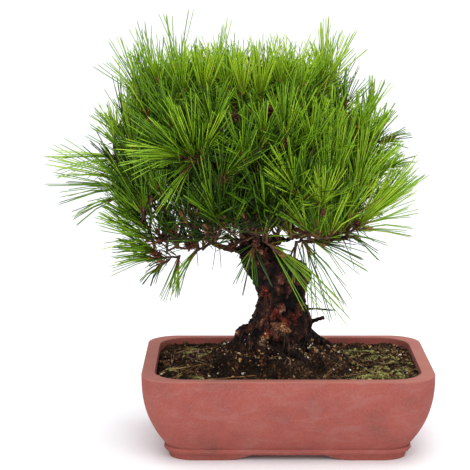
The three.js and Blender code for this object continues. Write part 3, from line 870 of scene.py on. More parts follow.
def nearest_radius(places, stretches):
    """The radius of the limb that each place lies nearest to."""
    best = np.full(len(places), 1e9)
    radius = np.zeros(len(places))
    for a, b, r in stretches:
        along = b - a
        share = np.clip((places - a) @ along / (along @ along), 0, 1)
        gap = np.linalg.norm(places - a - share[:, None] * along, axis=1) - r
        closer = gap < best
        best[closer] = gap[closer]
        radius[closer] = r
    return radius


def stretches_of(points, radii):
    return [(a, b, max(p, q)) for a, b, p, q in zip(points, points[1:], radii, radii[1:])]


stock = [(spot((x0, 0, z0)), spot((x1, 0, z1)), max(r0, r1))
         for (z0, x0, r0, _), (z1, x1, r1, _) in zip(TRUNK_SLICES, TRUNK_SLICES[1:])]
skin_stretches = stock + [s for points, radii in limbs for s in stretches_of(points, radii)]
count = len(trunk.data.vertices)
places = np.empty(count * 3)
trunk.data.vertices.foreach_get("co", places)
places = (places.reshape(-1, 3) - np.array(POT_MIDDLE)) / MM
normals = np.empty(count * 3)
trunk.data.vertices.foreach_get("normal", normals)
normals = normals.reshape(-1, 3)
girth = nearest_radius(places, skin_stretches)

heights = np.zeros(count)
crack_and_shade_mask = np.zeros(count)
painted_relief_light = np.zeros(count)
for i, (place, radius) in enumerate(zip(places, girth)):
    here = Vector(place)
    plate = min(max(radius * PLATE["share"], PLATE["least"]), PLATE["most"])
    warp = (noise.noise_vector(here / BEND_WIDE[0]) * BEND_WIDE[1]
            + noise.noise_vector(here / BEND_FINE[0]) * BEND_FINE[1])
    point = Vector((place[0], place[1], place[2] * PLATE["flat"])) + warp * (plate / PLATE["most"])
    far, feet = noise.voronoi(point / plate)
    chip = noise.voronoi(point / plate * 2.7)[0]
    level = noise.cell(feet[0] * 9)
    tilt = feet[0].z - point.z / plate
    edge = min((far[1] - far[0]) / CRACK["share"], 1)
    broken = CRACK["unbroken"] + CRACK["breaks"] * noise.noise(here / CRACK["break_size"])
    crack_and_shade_mask[i] = (1 - edge * edge * (3 - 2 * edge)) * min(max(broken, 0), 1)
    knobs = noise.fractal(here / KNOB["size"], 0.8, 2.1, 3)
    flakes = noise.noise(here / FLAKE_MM)
    scale = (RELIEF["level"] * level + RELIEF["tilt"] * tilt - RELIEF["crack"] * crack_and_shade_mask[i]
             - RELIEF["chip"] * chip[0] + RELIEF["flake"] * flakes)
    # Painted light: how high a plate stands gives it a lighter tone, and low places a darker one.
    painted_relief_light[i] = 0.55 + 0.55 * scale + 0.3 * knobs
    heights[i] = plate * PLATE["deep"] * scale + min(radius, KNOB["widest"]) * KNOB["lift"] * knobs
front = np.exp(-((places[:, 0] - BROW["x"]) / BROW["half"]) ** 2) * np.clip(-normals[:, 1], 0, 1)
hollow_share = front * np.exp(-((places[:, 2] - BROW["hollow_z"]) / 5) ** 2)
# The hollow under the swelling joins the crack mask, so the finish darkens it as painted shadow.
crack_and_shade_mask = np.maximum(crack_and_shade_mask, 0.8 * hollow_share)
heights += front * BROW["swell"] * np.exp(-((places[:, 2] - BROW["swell_z"]) / 8) ** 2)
heights -= BROW["hollow"] * hollow_share
places += normals * heights[:, None]
trunk.data.vertices.foreach_set("co", (places * MM + np.array(POT_MIDDLE)).ravel())
bark_marks_and_shade = {"crack": crack_and_shade_mask, "painted_relief_light": np.clip(painted_relief_light, 0, 1),
        "youth": (np.clip((YOUNG["radius"] - girth) / YOUNG["over"], 0, 1)
                  * np.clip((places[:, 2] - YOUNG["from_z"]) / YOUNG["over_z"], 0, 1))}
for tint, spots in SCARS.items():
    share = np.zeros(count)
    for middle, reach in spots:
        share = np.maximum(share, 1 - np.linalg.norm(places - spot(middle), axis=1) / reach)
    bark_marks_and_shade[tint] = np.clip(share * 1.6, 0, 1)
for name, values in bark_marks_and_shade.items():
    layer = trunk.data.attributes.new(name, "FLOAT", "POINT")
    layer.data.foreach_set("value", values.astype(np.float32))
trunk.data.update()
apply_all(trunk)
bpy.ops.object.shade_smooth()
print("bark relief from", round(heights.min(), 2), "to", round(heights.max(), 2), "mm")

# %% [markdown]
# Pine bark is dull and corky. Old plates weather to a brown that is nearly black, a fresh flake
# shows fox red or tan underneath, and the young limbs of this pine are a warm red-brown, which
# gives it its name. The finish reads the relief's own attributes for the cracks and the hollow,
# which it darkens partly as painted shade, for the raised plates, which it lightens as painted
# light, and for the flaked places and the young limbs. Scales under a millimetre are left to the
# bump.

# %% Flaking pine bark
DRIFT_MM = 11
SCALES_MM = 1.8
STAIN_MM = 26
pine_bark, tree, skin, place = new_finish("flaking_pine_bark")
marks = {name: add(tree, "Attribute", attribute_name=name).outputs["Fac"]
         for name in bark_marks_and_shade}
drift = add(tree, "TexNoise", {
    "Vector": place, "Scale": 1000 / DRIFT_MM, "Detail": 4.0, "Roughness": 0.65})
scales = add(tree, "TexNoise", {
    "Vector": place, "Scale": 1000 / SCALES_MM, "Detail": 3.0, "Roughness": 0.7})
broad = add(tree, "TexNoise", {"Vector": place, "Scale": 1000 / STAIN_MM, "Detail": 2.0})
# Painted light: the raised plates are lightened.
painted_plate_light = add(tree, "Math", {0: marks["painted_relief_light"], 1: 0.45}, operation="MULTIPLY")
stained = add(tree, "Math", {0: broad, 1: 1.1}, operation="MULTIPLY")
lightness = drift
for part in (painted_plate_light, scales, stained):
    lightness = add(tree, "Math", {0: lightness, 1: part}, operation="ADD")
lightness = add(tree, "Math", {0: lightness, 1: 0.29}, operation="MULTIPLY")
BARKS = {  # what each bark's colour follows, and its colours
    "old": (lightness, [(0.41, "#040202"), (0.475, "#120705"), (0.53, "#351A11"),
                                   (0.59, "#663A2B"), (0.66, "#B48670")]),
    "young": (drift, [(0.32, "#3A2019"), (0.5, "#5F3526"), (0.66, "#854F35"), (0.8, "#9A6B4C")]),
    "red": (scales, [(0.38, "#260C08"), (0.5, "#672114"), (0.66, "#B54F33")]),
    "tan": (scales, [(0.38, "#351C12"), (0.5, "#875532"), (0.66, "#DDB080")]),
    "green": (drift, [(0.35, "#1C2110"), (0.5, "#39431F"), (0.68, "#5B6638")]),
}
barks = {name: add(tree, "ValToRGB", {"Fac": share}, stops=stops)
         for name, (share, stops) in BARKS.items()}
flaked = add(tree, "Mix", {"Factor": marks["youth"], 6: barks["old"], 7: barks["young"]},
             data_type="RGBA")
for name, strength in (("red", 1.6), ("tan", 1.9), ("green", 1.5)):
    spread = add(tree, "Math", {0: marks[name], 1: scales}, operation="MULTIPLY")
    amount = add(tree, "Math", {0: spread, 1: strength},
                 operation="MULTIPLY", use_clamp=True)
    flaked = add(tree, "Mix", {
        "Factor": amount, 6: flaked, 7: barks[name]}, data_type="RGBA")
# Cracks and the hollow are mixed towards near black: partly their own dark, partly painted shade.
deep = add(tree, "Math", {0: marks["crack"], 1: 0.95}, operation="MULTIPLY")
shaded = add(tree, "Mix", {
    "Factor": deep, 6: flaked, 7: paint("#060303")}, data_type="RGBA")
damp_sheen = add(tree, "MapRange", {
    "Value": drift, "From Min": 0.35, "From Max": 0.65, "To Min": 0.45, "To Max": 0.85})
scale_bump = add(tree, "Bump", {"Height": scales, "Strength": 1.0, "Distance": 1.1 * MM})
feed(tree, skin, {"Base Color": shaded, "Roughness": damp_sheen,
                  "Specular IOR Level": 0.15, "Normal": scale_bump})
coat(trunk, pine_bark)
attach(trunk, "root")
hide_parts("trunk", *[f"bough_{name}" for name in MASSES if name != "apex"])
print("bark finished")

# %% [markdown]
# ## Many small things
# Grit, moss and needles come in thousands, far too many to place by hand. They are joined meshes
# made from arrays: one small pattern of points and faces is worked out once, and numpy repeats it
# at every place. These helpers do that for the rest of the lesson.

# %% Helpers for many small things
SIDES = 3


def needle_points(root, direction, length, arch, share):
    """Places along the needles at a share of their length."""
    return root + length[:, None] * (direction * share + arch * share * share)


def built(name, points, triangles, slots, finishes, smooth_faces=True):
    """A piece from arrays of points in mm, triangles and finish numbers."""
    mesh = bpy.data.meshes.new(name)
    mesh.vertices.add(len(points))
    mesh.vertices.foreach_set("co", (points * MM + np.array(POT_MIDDLE)).ravel())
    mesh.loops.add(triangles.size)
    mesh.loops.foreach_set("vertex_index", triangles.ravel().astype(np.int32))
    mesh.polygons.add(len(triangles))
    mesh.polygons.foreach_set("loop_start", np.arange(0, triangles.size, 3, dtype=np.int32))
    for finish in finishes:
        mesh.materials.append(finish)
    mesh.polygons.foreach_set("material_index", slots.astype(np.int32))
    mesh.polygons.foreach_set("use_smooth", np.full(len(triangles), smooth_faces))
    mesh.update(calc_edges=True)
    piece = bpy.data.objects.new(name, mesh)
    bpy.context.scene.collection.objects.link(piece)
    return piece


def unit(vector):
    return vector / long(vector)


def rods(root, direction, length, arch, radius, levels, widths, pointed=True):
    """Points and triangles of many slim three-sided rods, each with the same faces."""
    count = len(root)
    side = np.cross(direction, spot((0.23, 0.41, 0.88)))
    side /= np.linalg.norm(side, axis=1)[:, None]
    up = np.cross(direction, side)
    rings = []
    for share, width in zip(levels, widths):
        centre = needle_points(root, direction, length, arch, share)
        for k in range(SIDES):
            turn = 2 * math.pi * k / SIDES
            rings.append(centre + (side * math.cos(turn) + up * math.sin(turn))
                         * (radius * width)[:, None])
    if pointed:
        rings.append(needle_points(root, direction, length, arch, levels[-1]))
    per = len(rings)
    points = np.stack(rings, axis=1).reshape(-1, 3)
    faces = [(0, 2, 1)]
    bands = len(widths) - 1
    for band in range(bands):
        for k in range(SIDES):
            a, b = band * SIDES + k, band * SIDES + (k + 1) % SIDES
            faces += [(a, b, b + SIDES), (a, b + SIDES, a + SIDES)]
    top = bands * SIDES
    if pointed:
        faces += [(top + k, top + (k + 1) % SIDES, per - 1) for k in range(SIDES)]
    else:
        faces += [(top, top + 1, top + 2)]
    faces = np.array(faces)
    triangles = (np.arange(count)[:, None, None] * per + faces).reshape(-1, 3)
    return points, triangles, len(faces)


print("a rod has", SIDES, "sides")

# %% [markdown]
# ## Dressing of the soil
# Years of watering have washed the fine earth off the root ball, so fine roots lie bare on the
# bank, with grit caught between them. To lay anything on the ground, we need its height. A ray is
# sent down at the soil and at the trunk's foot, and the higher hit counts. A ray that starts
# inside the wood hits a face that looks down, and such a place is refused.

# %% The ground's height
FOOT_TOP = 123
BANK_DEPTH = 0.92
BED = {"x": sharp_x, "y": sharp_y, "corner": POT["inner_corner"]}
view = bpy.context.evaluated_depsgraph_get()
GROUND = [BVHTree.FromObject(thing, view) for thing in (soil, trunk)]


def in_bed(x, y, margin):
    dx = max(abs(x) - (BED["x"] - BED["corner"]), 0)
    dy = max(abs(y) - (BED["y"] - BED["corner"]), 0)
    return math.hypot(dx, dy) <= BED["corner"] - margin


def top_of(x, y, margin=1.5):
    """The height of the ground at a place, in mm, or None where nothing can lie."""
    if not in_bed(x, y, margin):
        return None
    hits = [tree.ray_cast(at(x, y, FOOT_TOP), Vector((0, 0, -1))) for tree in GROUND]
    if hits[1][0] is not None and hits[1][1].z < 0:
        return None
    return max(hit[0].z / MM for hit in hits if hit[0] is not None)


print("ground at the bank:", round(top_of(20, -50), 1), "mm, near the wall:",
      round(top_of(120, 0), 1), "mm")

# %% [markdown]
# Some things are best placed by where they show in the picture. A line of sight through that place
# is followed from the camera until it meets the ground or the wood, so whatever is laid there
# rests on it, seen from any side.

# %% Places seen in the picture
PICTURE = 470
PICTURE_MIDDLE = PICTURE / 2
FOCUS = LENS_MM / 36 * PICTURE
EYE_MM = spot(in_mm(EYE))
DOWN = math.radians(PITCH_DOWN_DEG)


def seen_at(across, down, depth):
    """The place on the tree, in mm, that shows at a place in the picture."""
    right, up = (across - PICTURE_MIDDLE) / FOCUS, (PICTURE_MIDDLE - down) / FOCUS
    ray = spot((right, math.cos(DOWN) + math.sin(DOWN) * up, math.cos(DOWN) * up - math.sin(DOWN)))
    return EYE_MM + ray * (depth - EYE_MM[1]) / ray[1]


def seen_ground(across, down):
    """Where a line of sight meets the ground or the wood, in mm, and which way that faces."""
    ray = Vector(seen_at(across, down, 0) - EYE_MM).normalized()
    hits = [tree.ray_cast(EYE, ray) for tree in GROUND]
    near = min((hit for hit in hits if hit[0] is not None), key=lambda hit: hit[3])
    return spot(in_mm(near[0])), spot(near[1])


print("the bank's front shows at", np.round(seen_ground(290, 360)[0], 1), "mm")

# %% [markdown]
# The thicker roots on the front of the bank are traced in the picture, a few places each. The fine
# roots start on the flare and wander down and outwards. Each step follows the ground, and
# a root lies half sunk, as they do. They are tubes drawn as curves, like the limbs.

# %% Fine roots on the bank
# Thickness at the top in mm, and places in the picture, across and down
TRACED_ROOTS = [
    (1.8, (287, 335), (289, 345), (289, 356), (291, 370)),
    (1.7, (309, 333), (305, 341), (301, 350), (298, 360), (296, 371)),
    (1.3, (303, 338), (299, 347), (293, 357), (288, 366)),
    (1.5, (313, 335), (316, 345), (319, 356), (326, 366)),
    (1.2, (311, 340), (311, 350), (313, 362)),
    (2.1, (244, 336), (256, 342), (266, 347), (277, 350), (286, 357)),
    (1.3, (321, 341), (327, 347), (333, 353), (339, 361)),
    (1.1, (284, 344), (281, 352), (276, 362), (271, 373)),
    (1.3, (296, 339), (293, 350), (286, 361), (282, 371)),
    (1.6, (247, 325), (242, 334), (239, 345), (235, 356)),
    (1.3, (256, 324), (250, 335), (247, 346), (242, 359)),
    (1.0, (300, 351), (305, 360), (311, 371)),
]
FINE_ROOTS = {"count": 150, "start": (35, 47), "reach": (9, 40), "step": 2.5, "bend": 0.2,
              "thick": (0.35, 1.3), "heading": 0.5, "proud": 0.3, "taper": 0.35, "seed": 77}
TRACED = {"step": 1.2, "proud": 0.35, "taper": 0.45}
toss = np.random.default_rng(FINE_ROOTS["seed"])
fine_roots = []
for k in range(FINE_ROOTS["count"]):
    turn = toss.uniform(0, 2 * math.pi)
    out = toss.uniform(*FINE_ROOTS["start"])
    thick = FINE_ROOTS["thick"][0] + np.ptp(FINE_ROOTS["thick"]) * toss.uniform() ** 2
    heading = toss.normal(0, FINE_ROOTS["heading"])
    path = []
    for _ in range(int(toss.uniform(*FINE_ROOTS["reach"]) / FINE_ROOTS["step"])):
        x, y = SOIL["middle_x"] + out * math.cos(turn), BANK_DEPTH * out * math.sin(turn)
        z = top_of(x, y, 3)
        if z is not None:
            path.append([x, y, z + thick * FINE_ROOTS["proud"]])
        heading += toss.normal(0, FINE_ROOTS["bend"])
        out += FINE_ROOTS["step"] * math.cos(heading)
        turn += FINE_ROOTS["step"] * math.sin(heading) / out
    if len(path) > 3:
        path = np.array(path)
        path[1:-1, 2] = (path[:-2, 2] + 2 * path[1:-1, 2] + path[2:, 2]) / 4
        fine_roots.append((path, np.linspace(thick, thick * FINE_ROOTS["taper"], len(path))))
for thick, *trail in TRACED_ROOTS:
    path = []
    for (u0, v0), (u1, v1) in zip(trail, trail[1:]):
        for t in np.arange(0, 1, TRACED["step"] / math.hypot(u1 - u0, v1 - v0)):
            place, facing = seen_ground(u0 + (u1 - u0) * t, v0 + (v1 - v0) * t)
            path.append(place + facing * thick * TRACED["proud"])
    path = np.array(path)
    for _ in range(3):
        path[1:-1] = (path[:-2] + 2 * path[1:-1] + path[2:]) / 4
    fine_roots.append((path, np.linspace(thick, thick * TRACED["taper"], len(path))))
root_web = tubes("fine_roots_on_the_bank", fine_roots, 1)
bpy.ops.object.shade_smooth()
print("fine roots:", len(root_web.data.polygons), "faces")

# %% [markdown]
# A bare root weathers to a grey-brown skin, darker where it stays damp, with rings across it every
# millimetre or two that catch the light.

# %% Weathered root skin
ROOT_PATCH_MM = 12
ROOT_RING_MM = 1.6
root_skin, tree, skin, place = new_finish("weathered_root_skin")
drift = add(tree, "TexNoise", {
    "Vector": place, "Scale": 1000 / ROOT_PATCH_MM, "Detail": 4.0})
rings = add(tree, "TexNoise", {
    "Vector": place, "Scale": 1000 / ROOT_RING_MM, "Detail": 2.0})
tone = add(tree, "ValToRGB", {"Fac": drift}, stops=[
    (0.36, "#0F0907"), (0.5, "#221612"), (0.6, "#3D2B22"), (0.72, "#6F5645")])
ring_bump = add(tree, "Bump", {"Height": rings, "Strength": 0.7, "Distance": 0.5 * MM})
feed(tree, skin, {"Base Color": tone, "Roughness": 0.82,
                  "Specular IOR Level": 0.2, "Normal": ring_bump})
coat(root_web, root_skin)
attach(root_web, "root")
print("root skin on", len(root_web.data.vertices), "points")

# %% [markdown]
# Grit is graded lava and pumice of one to four millimetres, mixed with crumbs of old bark. One
# pebble is a ball of twenty faces; each copy is dented, squashed and turned by its own
# seeded chances, so that no two look alike. Pale grit gathers on the bank, and in pockets
# between the roots that are placed by where they show in the picture.

# %% Grit, crumbs and chips of bark
GRIT = {"count": 4600, "small": 0.55, "large": 2.0, "mostly_small": 1.6, "chips": 230,
        "chip": (1.8, 3.6), "sunk": 0.25, "chip_flat": 0.3, "stone_flat": 0.85, "seed": 91}
BANK = {"out": 51, "width": 14}
BARE_ROOT = {"height": 5, "washed_off": 0.7}
# Shares of pale and of tan grit: on the level, and what the bank and the right side add
MIX = {"pale": 0.015, "pale_bank": 0.09, "tan": 0.06, "tan_bank": 0.34, "tan_right": 0.04,
       "right": 40, "chips": 0.22}
# Washed grit that has gathered between the roots: places in the picture
POCKETS = [(308, 350), (305, 354), (316, 350), (312, 345), (263, 337), (269, 341), (279, 358),
           (270, 358), (278, 343)]
POCKET = {"stones": 9, "width": 2.6, "size": (0.7, 1.4), "pale": 0.25}
bpy.ops.object.select_all(action="DESELECT")
bpy.ops.mesh.primitive_ico_sphere_add(subdivisions=1, radius=1)
pebble = bpy.context.object
PEBBLE_POINTS = np.array([v.co for v in pebble.data.vertices])
PEBBLE_FACES = np.array([face.vertices for face in pebble.data.polygons])
bpy.data.objects.remove(pebble)


def pebbles(places, sizes, flat, toss):
    """Points and triangles of many rough stones; flat is how much each is squashed."""
    count = len(places)
    dents = 1 + toss.uniform(-0.3, 0.2, (count, len(PEBBLE_POINTS), 1))
    shape = PEBBLE_POINTS * dents * toss.uniform(0.75, 1.2, (count, 1, 3))
    shape[:, :, 2] *= flat[:, None]
    turn = toss.uniform(0, 2 * math.pi, count)
    lean = toss.normal(0, 0.35, (count, 2))
    cos, sin = np.cos(turn)[:, None], np.sin(turn)[:, None]
    x = shape[:, :, 0] * cos - shape[:, :, 1] * sin
    y = shape[:, :, 0] * sin + shape[:, :, 1] * cos
    z = shape[:, :, 2] + x * lean[:, :1] + y * lean[:, 1:]
    points = np.stack([x, y, z], axis=2) * sizes[:, None, None] + places[:, None, :]
    triangles = np.arange(count)[:, None, None] * len(PEBBLE_POINTS) + PEBBLE_FACES
    return points.reshape(-1, 3), triangles.reshape(-1, 3)


toss = np.random.default_rng(GRIT["seed"])
places, sizes, flat, kinds = [], [], [], []
CRUMB, CHIP, TAN, PALE = range(4)
for k in range(GRIT["count"] + GRIT["chips"]):
    x, y = toss.uniform(-BED["x"], BED["x"]), toss.uniform(-BED["y"], BED["y"])
    chance, size = toss.uniform(), toss.uniform()
    z = top_of(x, y, 2)
    if z is None:
        continue
    out = math.hypot(x - SOIL["middle_x"], y / BANK_DEPTH)
    near = math.exp(-((out - BANK["out"]) / BANK["width"]) ** 2)
    chipped = k >= GRIT["count"]
    if chipped:
        radius = GRIT["chip"][0] + np.ptp(GRIT["chip"]) * size
    else:
        radius = GRIT["small"] + (GRIT["large"] - GRIT["small"]) * size ** GRIT["mostly_small"]
    pale = MIX["pale"] + MIX["pale_bank"] * near
    tan_share = pale + MIX["tan"] + MIX["tan_right"] * (x > MIX["right"]) + MIX["tan_bank"] * near
    if z - soil_height(x, y) > BARE_ROOT["height"] and toss.uniform() < BARE_ROOT["washed_off"]:
        continue
    kinds.append(CHIP if chipped else PALE if chance < pale else TAN if chance < tan_share
                 else CHIP if chance < tan_share + MIX["chips"] else CRUMB)
    places.append((x, y, z + radius * GRIT["sunk"]))
    sizes.append(radius)
    flat.append(GRIT["chip_flat" if chipped else "stone_flat"])
for across, down in POCKETS:
    middle, _ = seen_ground(across, down)
    for _ in range(POCKET["stones"]):
        x, y = middle[:2] + toss.normal(0, POCKET["width"], 2)
        z, radius = top_of(x, y, 2), toss.uniform(*POCKET["size"])
        if z is not None:
            kinds.append(PALE if toss.uniform() < POCKET["pale"] else TAN)
            places.append((x, y, z + radius * GRIT["sunk"]))
            sizes.append(radius)
            flat.append(GRIT["stone_flat"])
points, triangles = pebbles(np.array(places), np.array(sizes), np.array(flat), toss)
print(len(kinds), "stones laid")

# %% [markdown]
# Lava and pumice are froth that froze: matt, pitted and pale, from bone to ochre. Bark crumbs are
# corky and brown, and damp crumbs of earth are nearly black. The pits are some tenths of a
# millimetre, drawn at 0.8 mm so that they show at all.

# %% Finishes of the grit
PITS_MM = 0.8
STONE_PATCH_MM = 5
GRIT_COLOURS = {
    "damp_earth_crumb": ("#0A0605", "#21160F", "#4C3828"),
    "corky_bark_chip": ("#24140D", "#4A2D1D", "#7A5238"),
    "ochre_lava_grit": ("#6E4C2C", "#A27C4E", "#C9A676"),
    "bone_white_pumice": ("#A2937C", "#D2C6B0", "#EFE8DA"),
}
grit_finishes = []
for name, colours in GRIT_COLOURS.items():
    finish, tree, skin, place = new_finish(name)
    pits = add(tree, "TexNoise", {
        "Vector": place, "Scale": 1000 / PITS_MM, "Detail": 2.0, "Roughness": 0.6})
    patch = add(tree, "TexNoise", {
        "Vector": place, "Scale": 1000 / STONE_PATCH_MM, "Detail": 2.0})
    both = add(tree, "Math", {0: pits, 1: patch}, operation="ADD")
    share = add(tree, "Math", {0: both, 1: 0.5}, operation="MULTIPLY")
    tone = add(tree, "ValToRGB", {"Fac": share},
               stops=list(zip((0.4, 0.5, 0.62), colours)))
    pit_bump = add(tree, "Bump", {"Height": pits, "Strength": 0.8, "Distance": 0.4 * MM})
    feed(tree, skin, {"Base Color": tone, "Roughness": 0.92,
                      "Specular IOR Level": 0.1, "Normal": pit_bump})
    grit_finishes.append(finish)
grit = built("grit_and_bark_chips", points, triangles,
             np.repeat(np.array(kinds), len(PEBBLE_FACES)), grit_finishes, smooth_faces=False)
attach(grit, "root")
print("grit:", len(kinds), "stones,", len(triangles), "faces")

# %% [markdown]
# Spent needles fall in pairs and lie across the soil until the grower picks them up. Each lies
# from one point of the ground to another, and is left out where the ground between them
# falls away or rises, so none floats or cuts through.

# %% Fallen needles
FALLEN = {"count": 150, "long": (38, 66), "radius": 0.42, "lift": 0.7, "most_gap": 3.0,
          "fork": 0.06, "seed": 53}
toss = np.random.default_rng(FALLEN["seed"])
feet, ways, longs = [], [], []
for _ in range(FALLEN["count"]):
    x, y = toss.uniform(-BED["x"], BED["x"]), toss.uniform(-BED["y"], BED["y"])
    turn, reach = toss.uniform(0, 2 * math.pi), toss.uniform(*FALLEN["long"])
    for lean in (0, FALLEN["fork"]):
        run = [(x + math.cos(turn + lean) * reach * k / 4,
                y + math.sin(turn + lean) * reach * k / 4) for k in range(5)]
        heights = [top_of(*place) for place in run]
        if None in heights:
            break
        line = np.linspace(heights[0], heights[-1], 5)
        gaps = line - np.array(heights)
        if gaps.max() > FALLEN["most_gap"] or gaps.min() < -FALLEN["most_gap"] * 0.3:
            break
        start = spot((*run[0], heights[0] + FALLEN["lift"]))
        end = spot((*run[-1], heights[-1] + FALLEN["lift"]))
        feet.append(start)
        ways.append(unit(end - start))
        longs.append(long(end - start))
feet, ways, longs = np.array(feet), np.array(ways), np.array(longs)
points, triangles, per = rods(feet, ways, longs, np.zeros_like(feet),
                              np.full(len(feet), FALLEN["radius"]),
                              np.array([0, 0.94, 1.0]), np.array([1.0, 0.8]))
print(len(feet), "needles have fallen")

# %% [markdown]
# A fallen needle bleaches from fox brown to straw, and goes dull as its wax weathers off.

# %% Bleached needle
FADE_MM = 14
bleached, tree, skin, place = new_finish("bleached_fallen_needle")
fade = add(tree, "TexNoise", {"Vector": place, "Scale": 1000 / FADE_MM, "Detail": 3.0})
tone = add(tree, "ValToRGB", {"Fac": fade}, stops=[
    (0.36, "#4A2A16"), (0.5, "#86602F"), (0.64, "#B99B62")])
feed(tree, skin, {"Base Color": tone, "Roughness": 0.65})
fallen = built("fallen_needles", points, triangles, np.zeros(len(triangles)), [bleached])
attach(fallen, "root")
print("fallen needles:", len(triangles), "faces")

# %% [markdown]
# Moss is the bonsai grower's ground cover: it settles where the soil stays damp, here mostly on
# the right. Up close it is a crowd of upright stems, each leafy and a few millimetres high. Each
# stem is drawn as a slim pointed leaf of four faces, in tufts of eight.

# %% Moss
MOSS_BEDS = [  # middle of the bed, and how far it spreads
    ((58, 46), 17), ((92, 40), 26), ((108, -38), 27), ((84, -62), 18), ((118, 4), 20),
    ((-104, 56), 16), ((-118, -28), 13), ((-92, -66), 10), ((-46, 74), 18), ((12, 76), 16),
    ((68, -8), 9), ((-84, 30), 9),
]
MOSS = {"tufts": 3000, "leaves": 8, "spread": 1.1, "tall": (1.2, 2.9), "thick": 0.34,
        "bed": 0.45, "lean": 0.42, "sunk": 0.3, "bare_size": 9, "bare": -0.05, "tone_size": 6,
        "seed": 29}
toss = np.random.default_rng(MOSS["seed"])
areas = np.array([reach ** 2 for _, reach in MOSS_BEDS], float)
roots, ways, talls, tones = [], [], [], []
for _ in range(MOSS["tufts"]):
    (bed_x, bed_y), reach = MOSS_BEDS[toss.choice(len(MOSS_BEDS), p=areas / areas.sum())]
    wide = reach * MOSS["bed"]
    x, y = bed_x + toss.normal(0, wide), bed_y + toss.normal(0, wide)
    z = top_of(x, y)
    if z is None or noise.noise(Vector((x, y, 5)) / MOSS["bare_size"]) < MOSS["bare"]:
        continue
    patch = noise.noise(Vector((x, y, 8)) / MOSS["tone_size"])
    tone = min(max(int(1.5 + 2.4 * patch + toss.normal(0, 0.5)), 0), 2)
    for _ in range(MOSS["leaves"]):
        way = toss.normal(0, MOSS["lean"], 2)
        roots.append((x + way[0] * MOSS["spread"], y + way[1] * MOSS["spread"], z - MOSS["sunk"]))
        ways.append((way[0], way[1], 1))
        talls.append(toss.uniform(*MOSS["tall"]))
        tones.append(tone)
roots, ways = np.array(roots), np.array(ways)
ways /= np.linalg.norm(ways, axis=1)[:, None]
points, triangles, per = rods(roots, ways, np.array(talls), np.zeros_like(roots),
                              np.full(len(roots), MOSS["thick"]), [0, 1.0], [1.0])
print(len(roots), "moss stems")

# %% [markdown]
# Moss leaves are one cell thick, so light comes through them and they look bright from any side. A
# little subsurface scattering would do the same but costs render time, so the green is
# simply chosen light, with a soft surface.

# %% Moss finish
MOSS_COLOURS = {"deep_moss": ("#3A3614", "#5A5422"), "olive_moss": ("#6C6A2C", "#938C46"),
                "bright_moss": ("#A3A152", "#D2CC82")}
TUFT_MM = 3
moss_finishes = []
for name, (dark, light) in MOSS_COLOURS.items():
    finish, tree, skin, place = new_finish(name)
    patch = add(tree, "TexNoise", {"Vector": place, "Scale": 1000 / TUFT_MM, "Detail": 2.0})
    tone = add(tree, "ValToRGB", {"Fac": patch}, stops=[(0.35, dark), (0.65, light)])
    feed(tree, skin, {"Base Color": tone, "Roughness": 0.75})
    moss_finishes.append(finish)
moss = built("moss_on_the_soil", points, triangles, np.repeat(np.array(tones), per), moss_finishes)
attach(moss, "root")
print("moss:", len(triangles), "faces")

# %% [markdown]
# ## Shoots
# The crown is grown, not drawn. Each mass of the frame has a number of shoots whose tips are
# spread over an egg-shaped shell, a golden angle apart. Each shoot points outwards, away from the
# middle of the crown, and a little up to the light. A shoot is kept only if it stays in its own
# mass's space and clear of every limb. This is the frame's rule, with the same seeds, so each
# shoot here stands where the frame's shoot stands.

# %% The rule that places the shoots
STEM = {"radius": 2.2, "taper": 0.8, "share": 0.6, "inset": 0.15, "collar": 1.2}
TWIG = {"radius": 1.3, "sag": 0.1, "detour": 0.35, "tries": 3, "shortest": 1, "margin": 2,
        "step": 7}
SHOOT = {"shell": 0.72, "tries": 12, "level": 1.2, "turn": 0.7, "outward": 0.35,
         "from_middle": 0.75, "upward": 0.6, "wander": 0.3, "core": 18, "margin": 3}
SEED, SEED_STEP = 2024, 97
GOLDEN_ANGLE = math.pi * (3 - math.sqrt(5))
LIMB_MARGIN = 1.0

limb_rows = [(a, b, r + 1) for a, b, r in stock]
limb_rows += stretches_of(*split(LEADER))
for name, (points, radii) in BOUGHS.items():
    if name != "apex":
        limb_rows += stretches_of(points, radii)
LIMB_A = np.array([a for a, _, _ in limb_rows])
LIMB_B = np.array([b for _, b, _ in limb_rows])
LIMB_R = np.array([r for _, _, r in limb_rows])
MIDDLES = {name: spot(row[0]) for name, row in MASSES.items()}


def clear_of_limbs(a, b, radius):
    """True if the straight line from a to b stays off every limb."""
    u, v, w = b - a, LIMB_B - LIMB_A, a - LIMB_A
    uu, uv, vv, uw, vw = u @ u, v @ u, (v * v).sum(1), w @ u, (w * v).sum(1)
    det = uu * vv - uv * uv
    s = np.where(det > 1e-9, np.clip((uv * vw - vv * uw) / np.maximum(det, 1e-9), 0, 1), 0)
    t = np.clip((uv * s + vw) / vv, 0, 1)
    s = np.clip((uv * t - uw) / uu, 0, 1)
    gaps = np.linalg.norm(a + s[:, None] * u - LIMB_A - t[:, None] * v, axis=1)
    return bool((gaps > LIMB_R + radius + LIMB_MARGIN).all())


def in_cell(point, name, margin):
    """True if the point is nearer to its own mass's middle than to any other's."""
    own = MIDDLES[name]
    for other, away in MIDDLES.items():
        if other != name:
            lead = long(point - away) ** 2 - long(point - own) ** 2
            if lead / (2 * long(own - away)) <= margin:
                return False
    return True


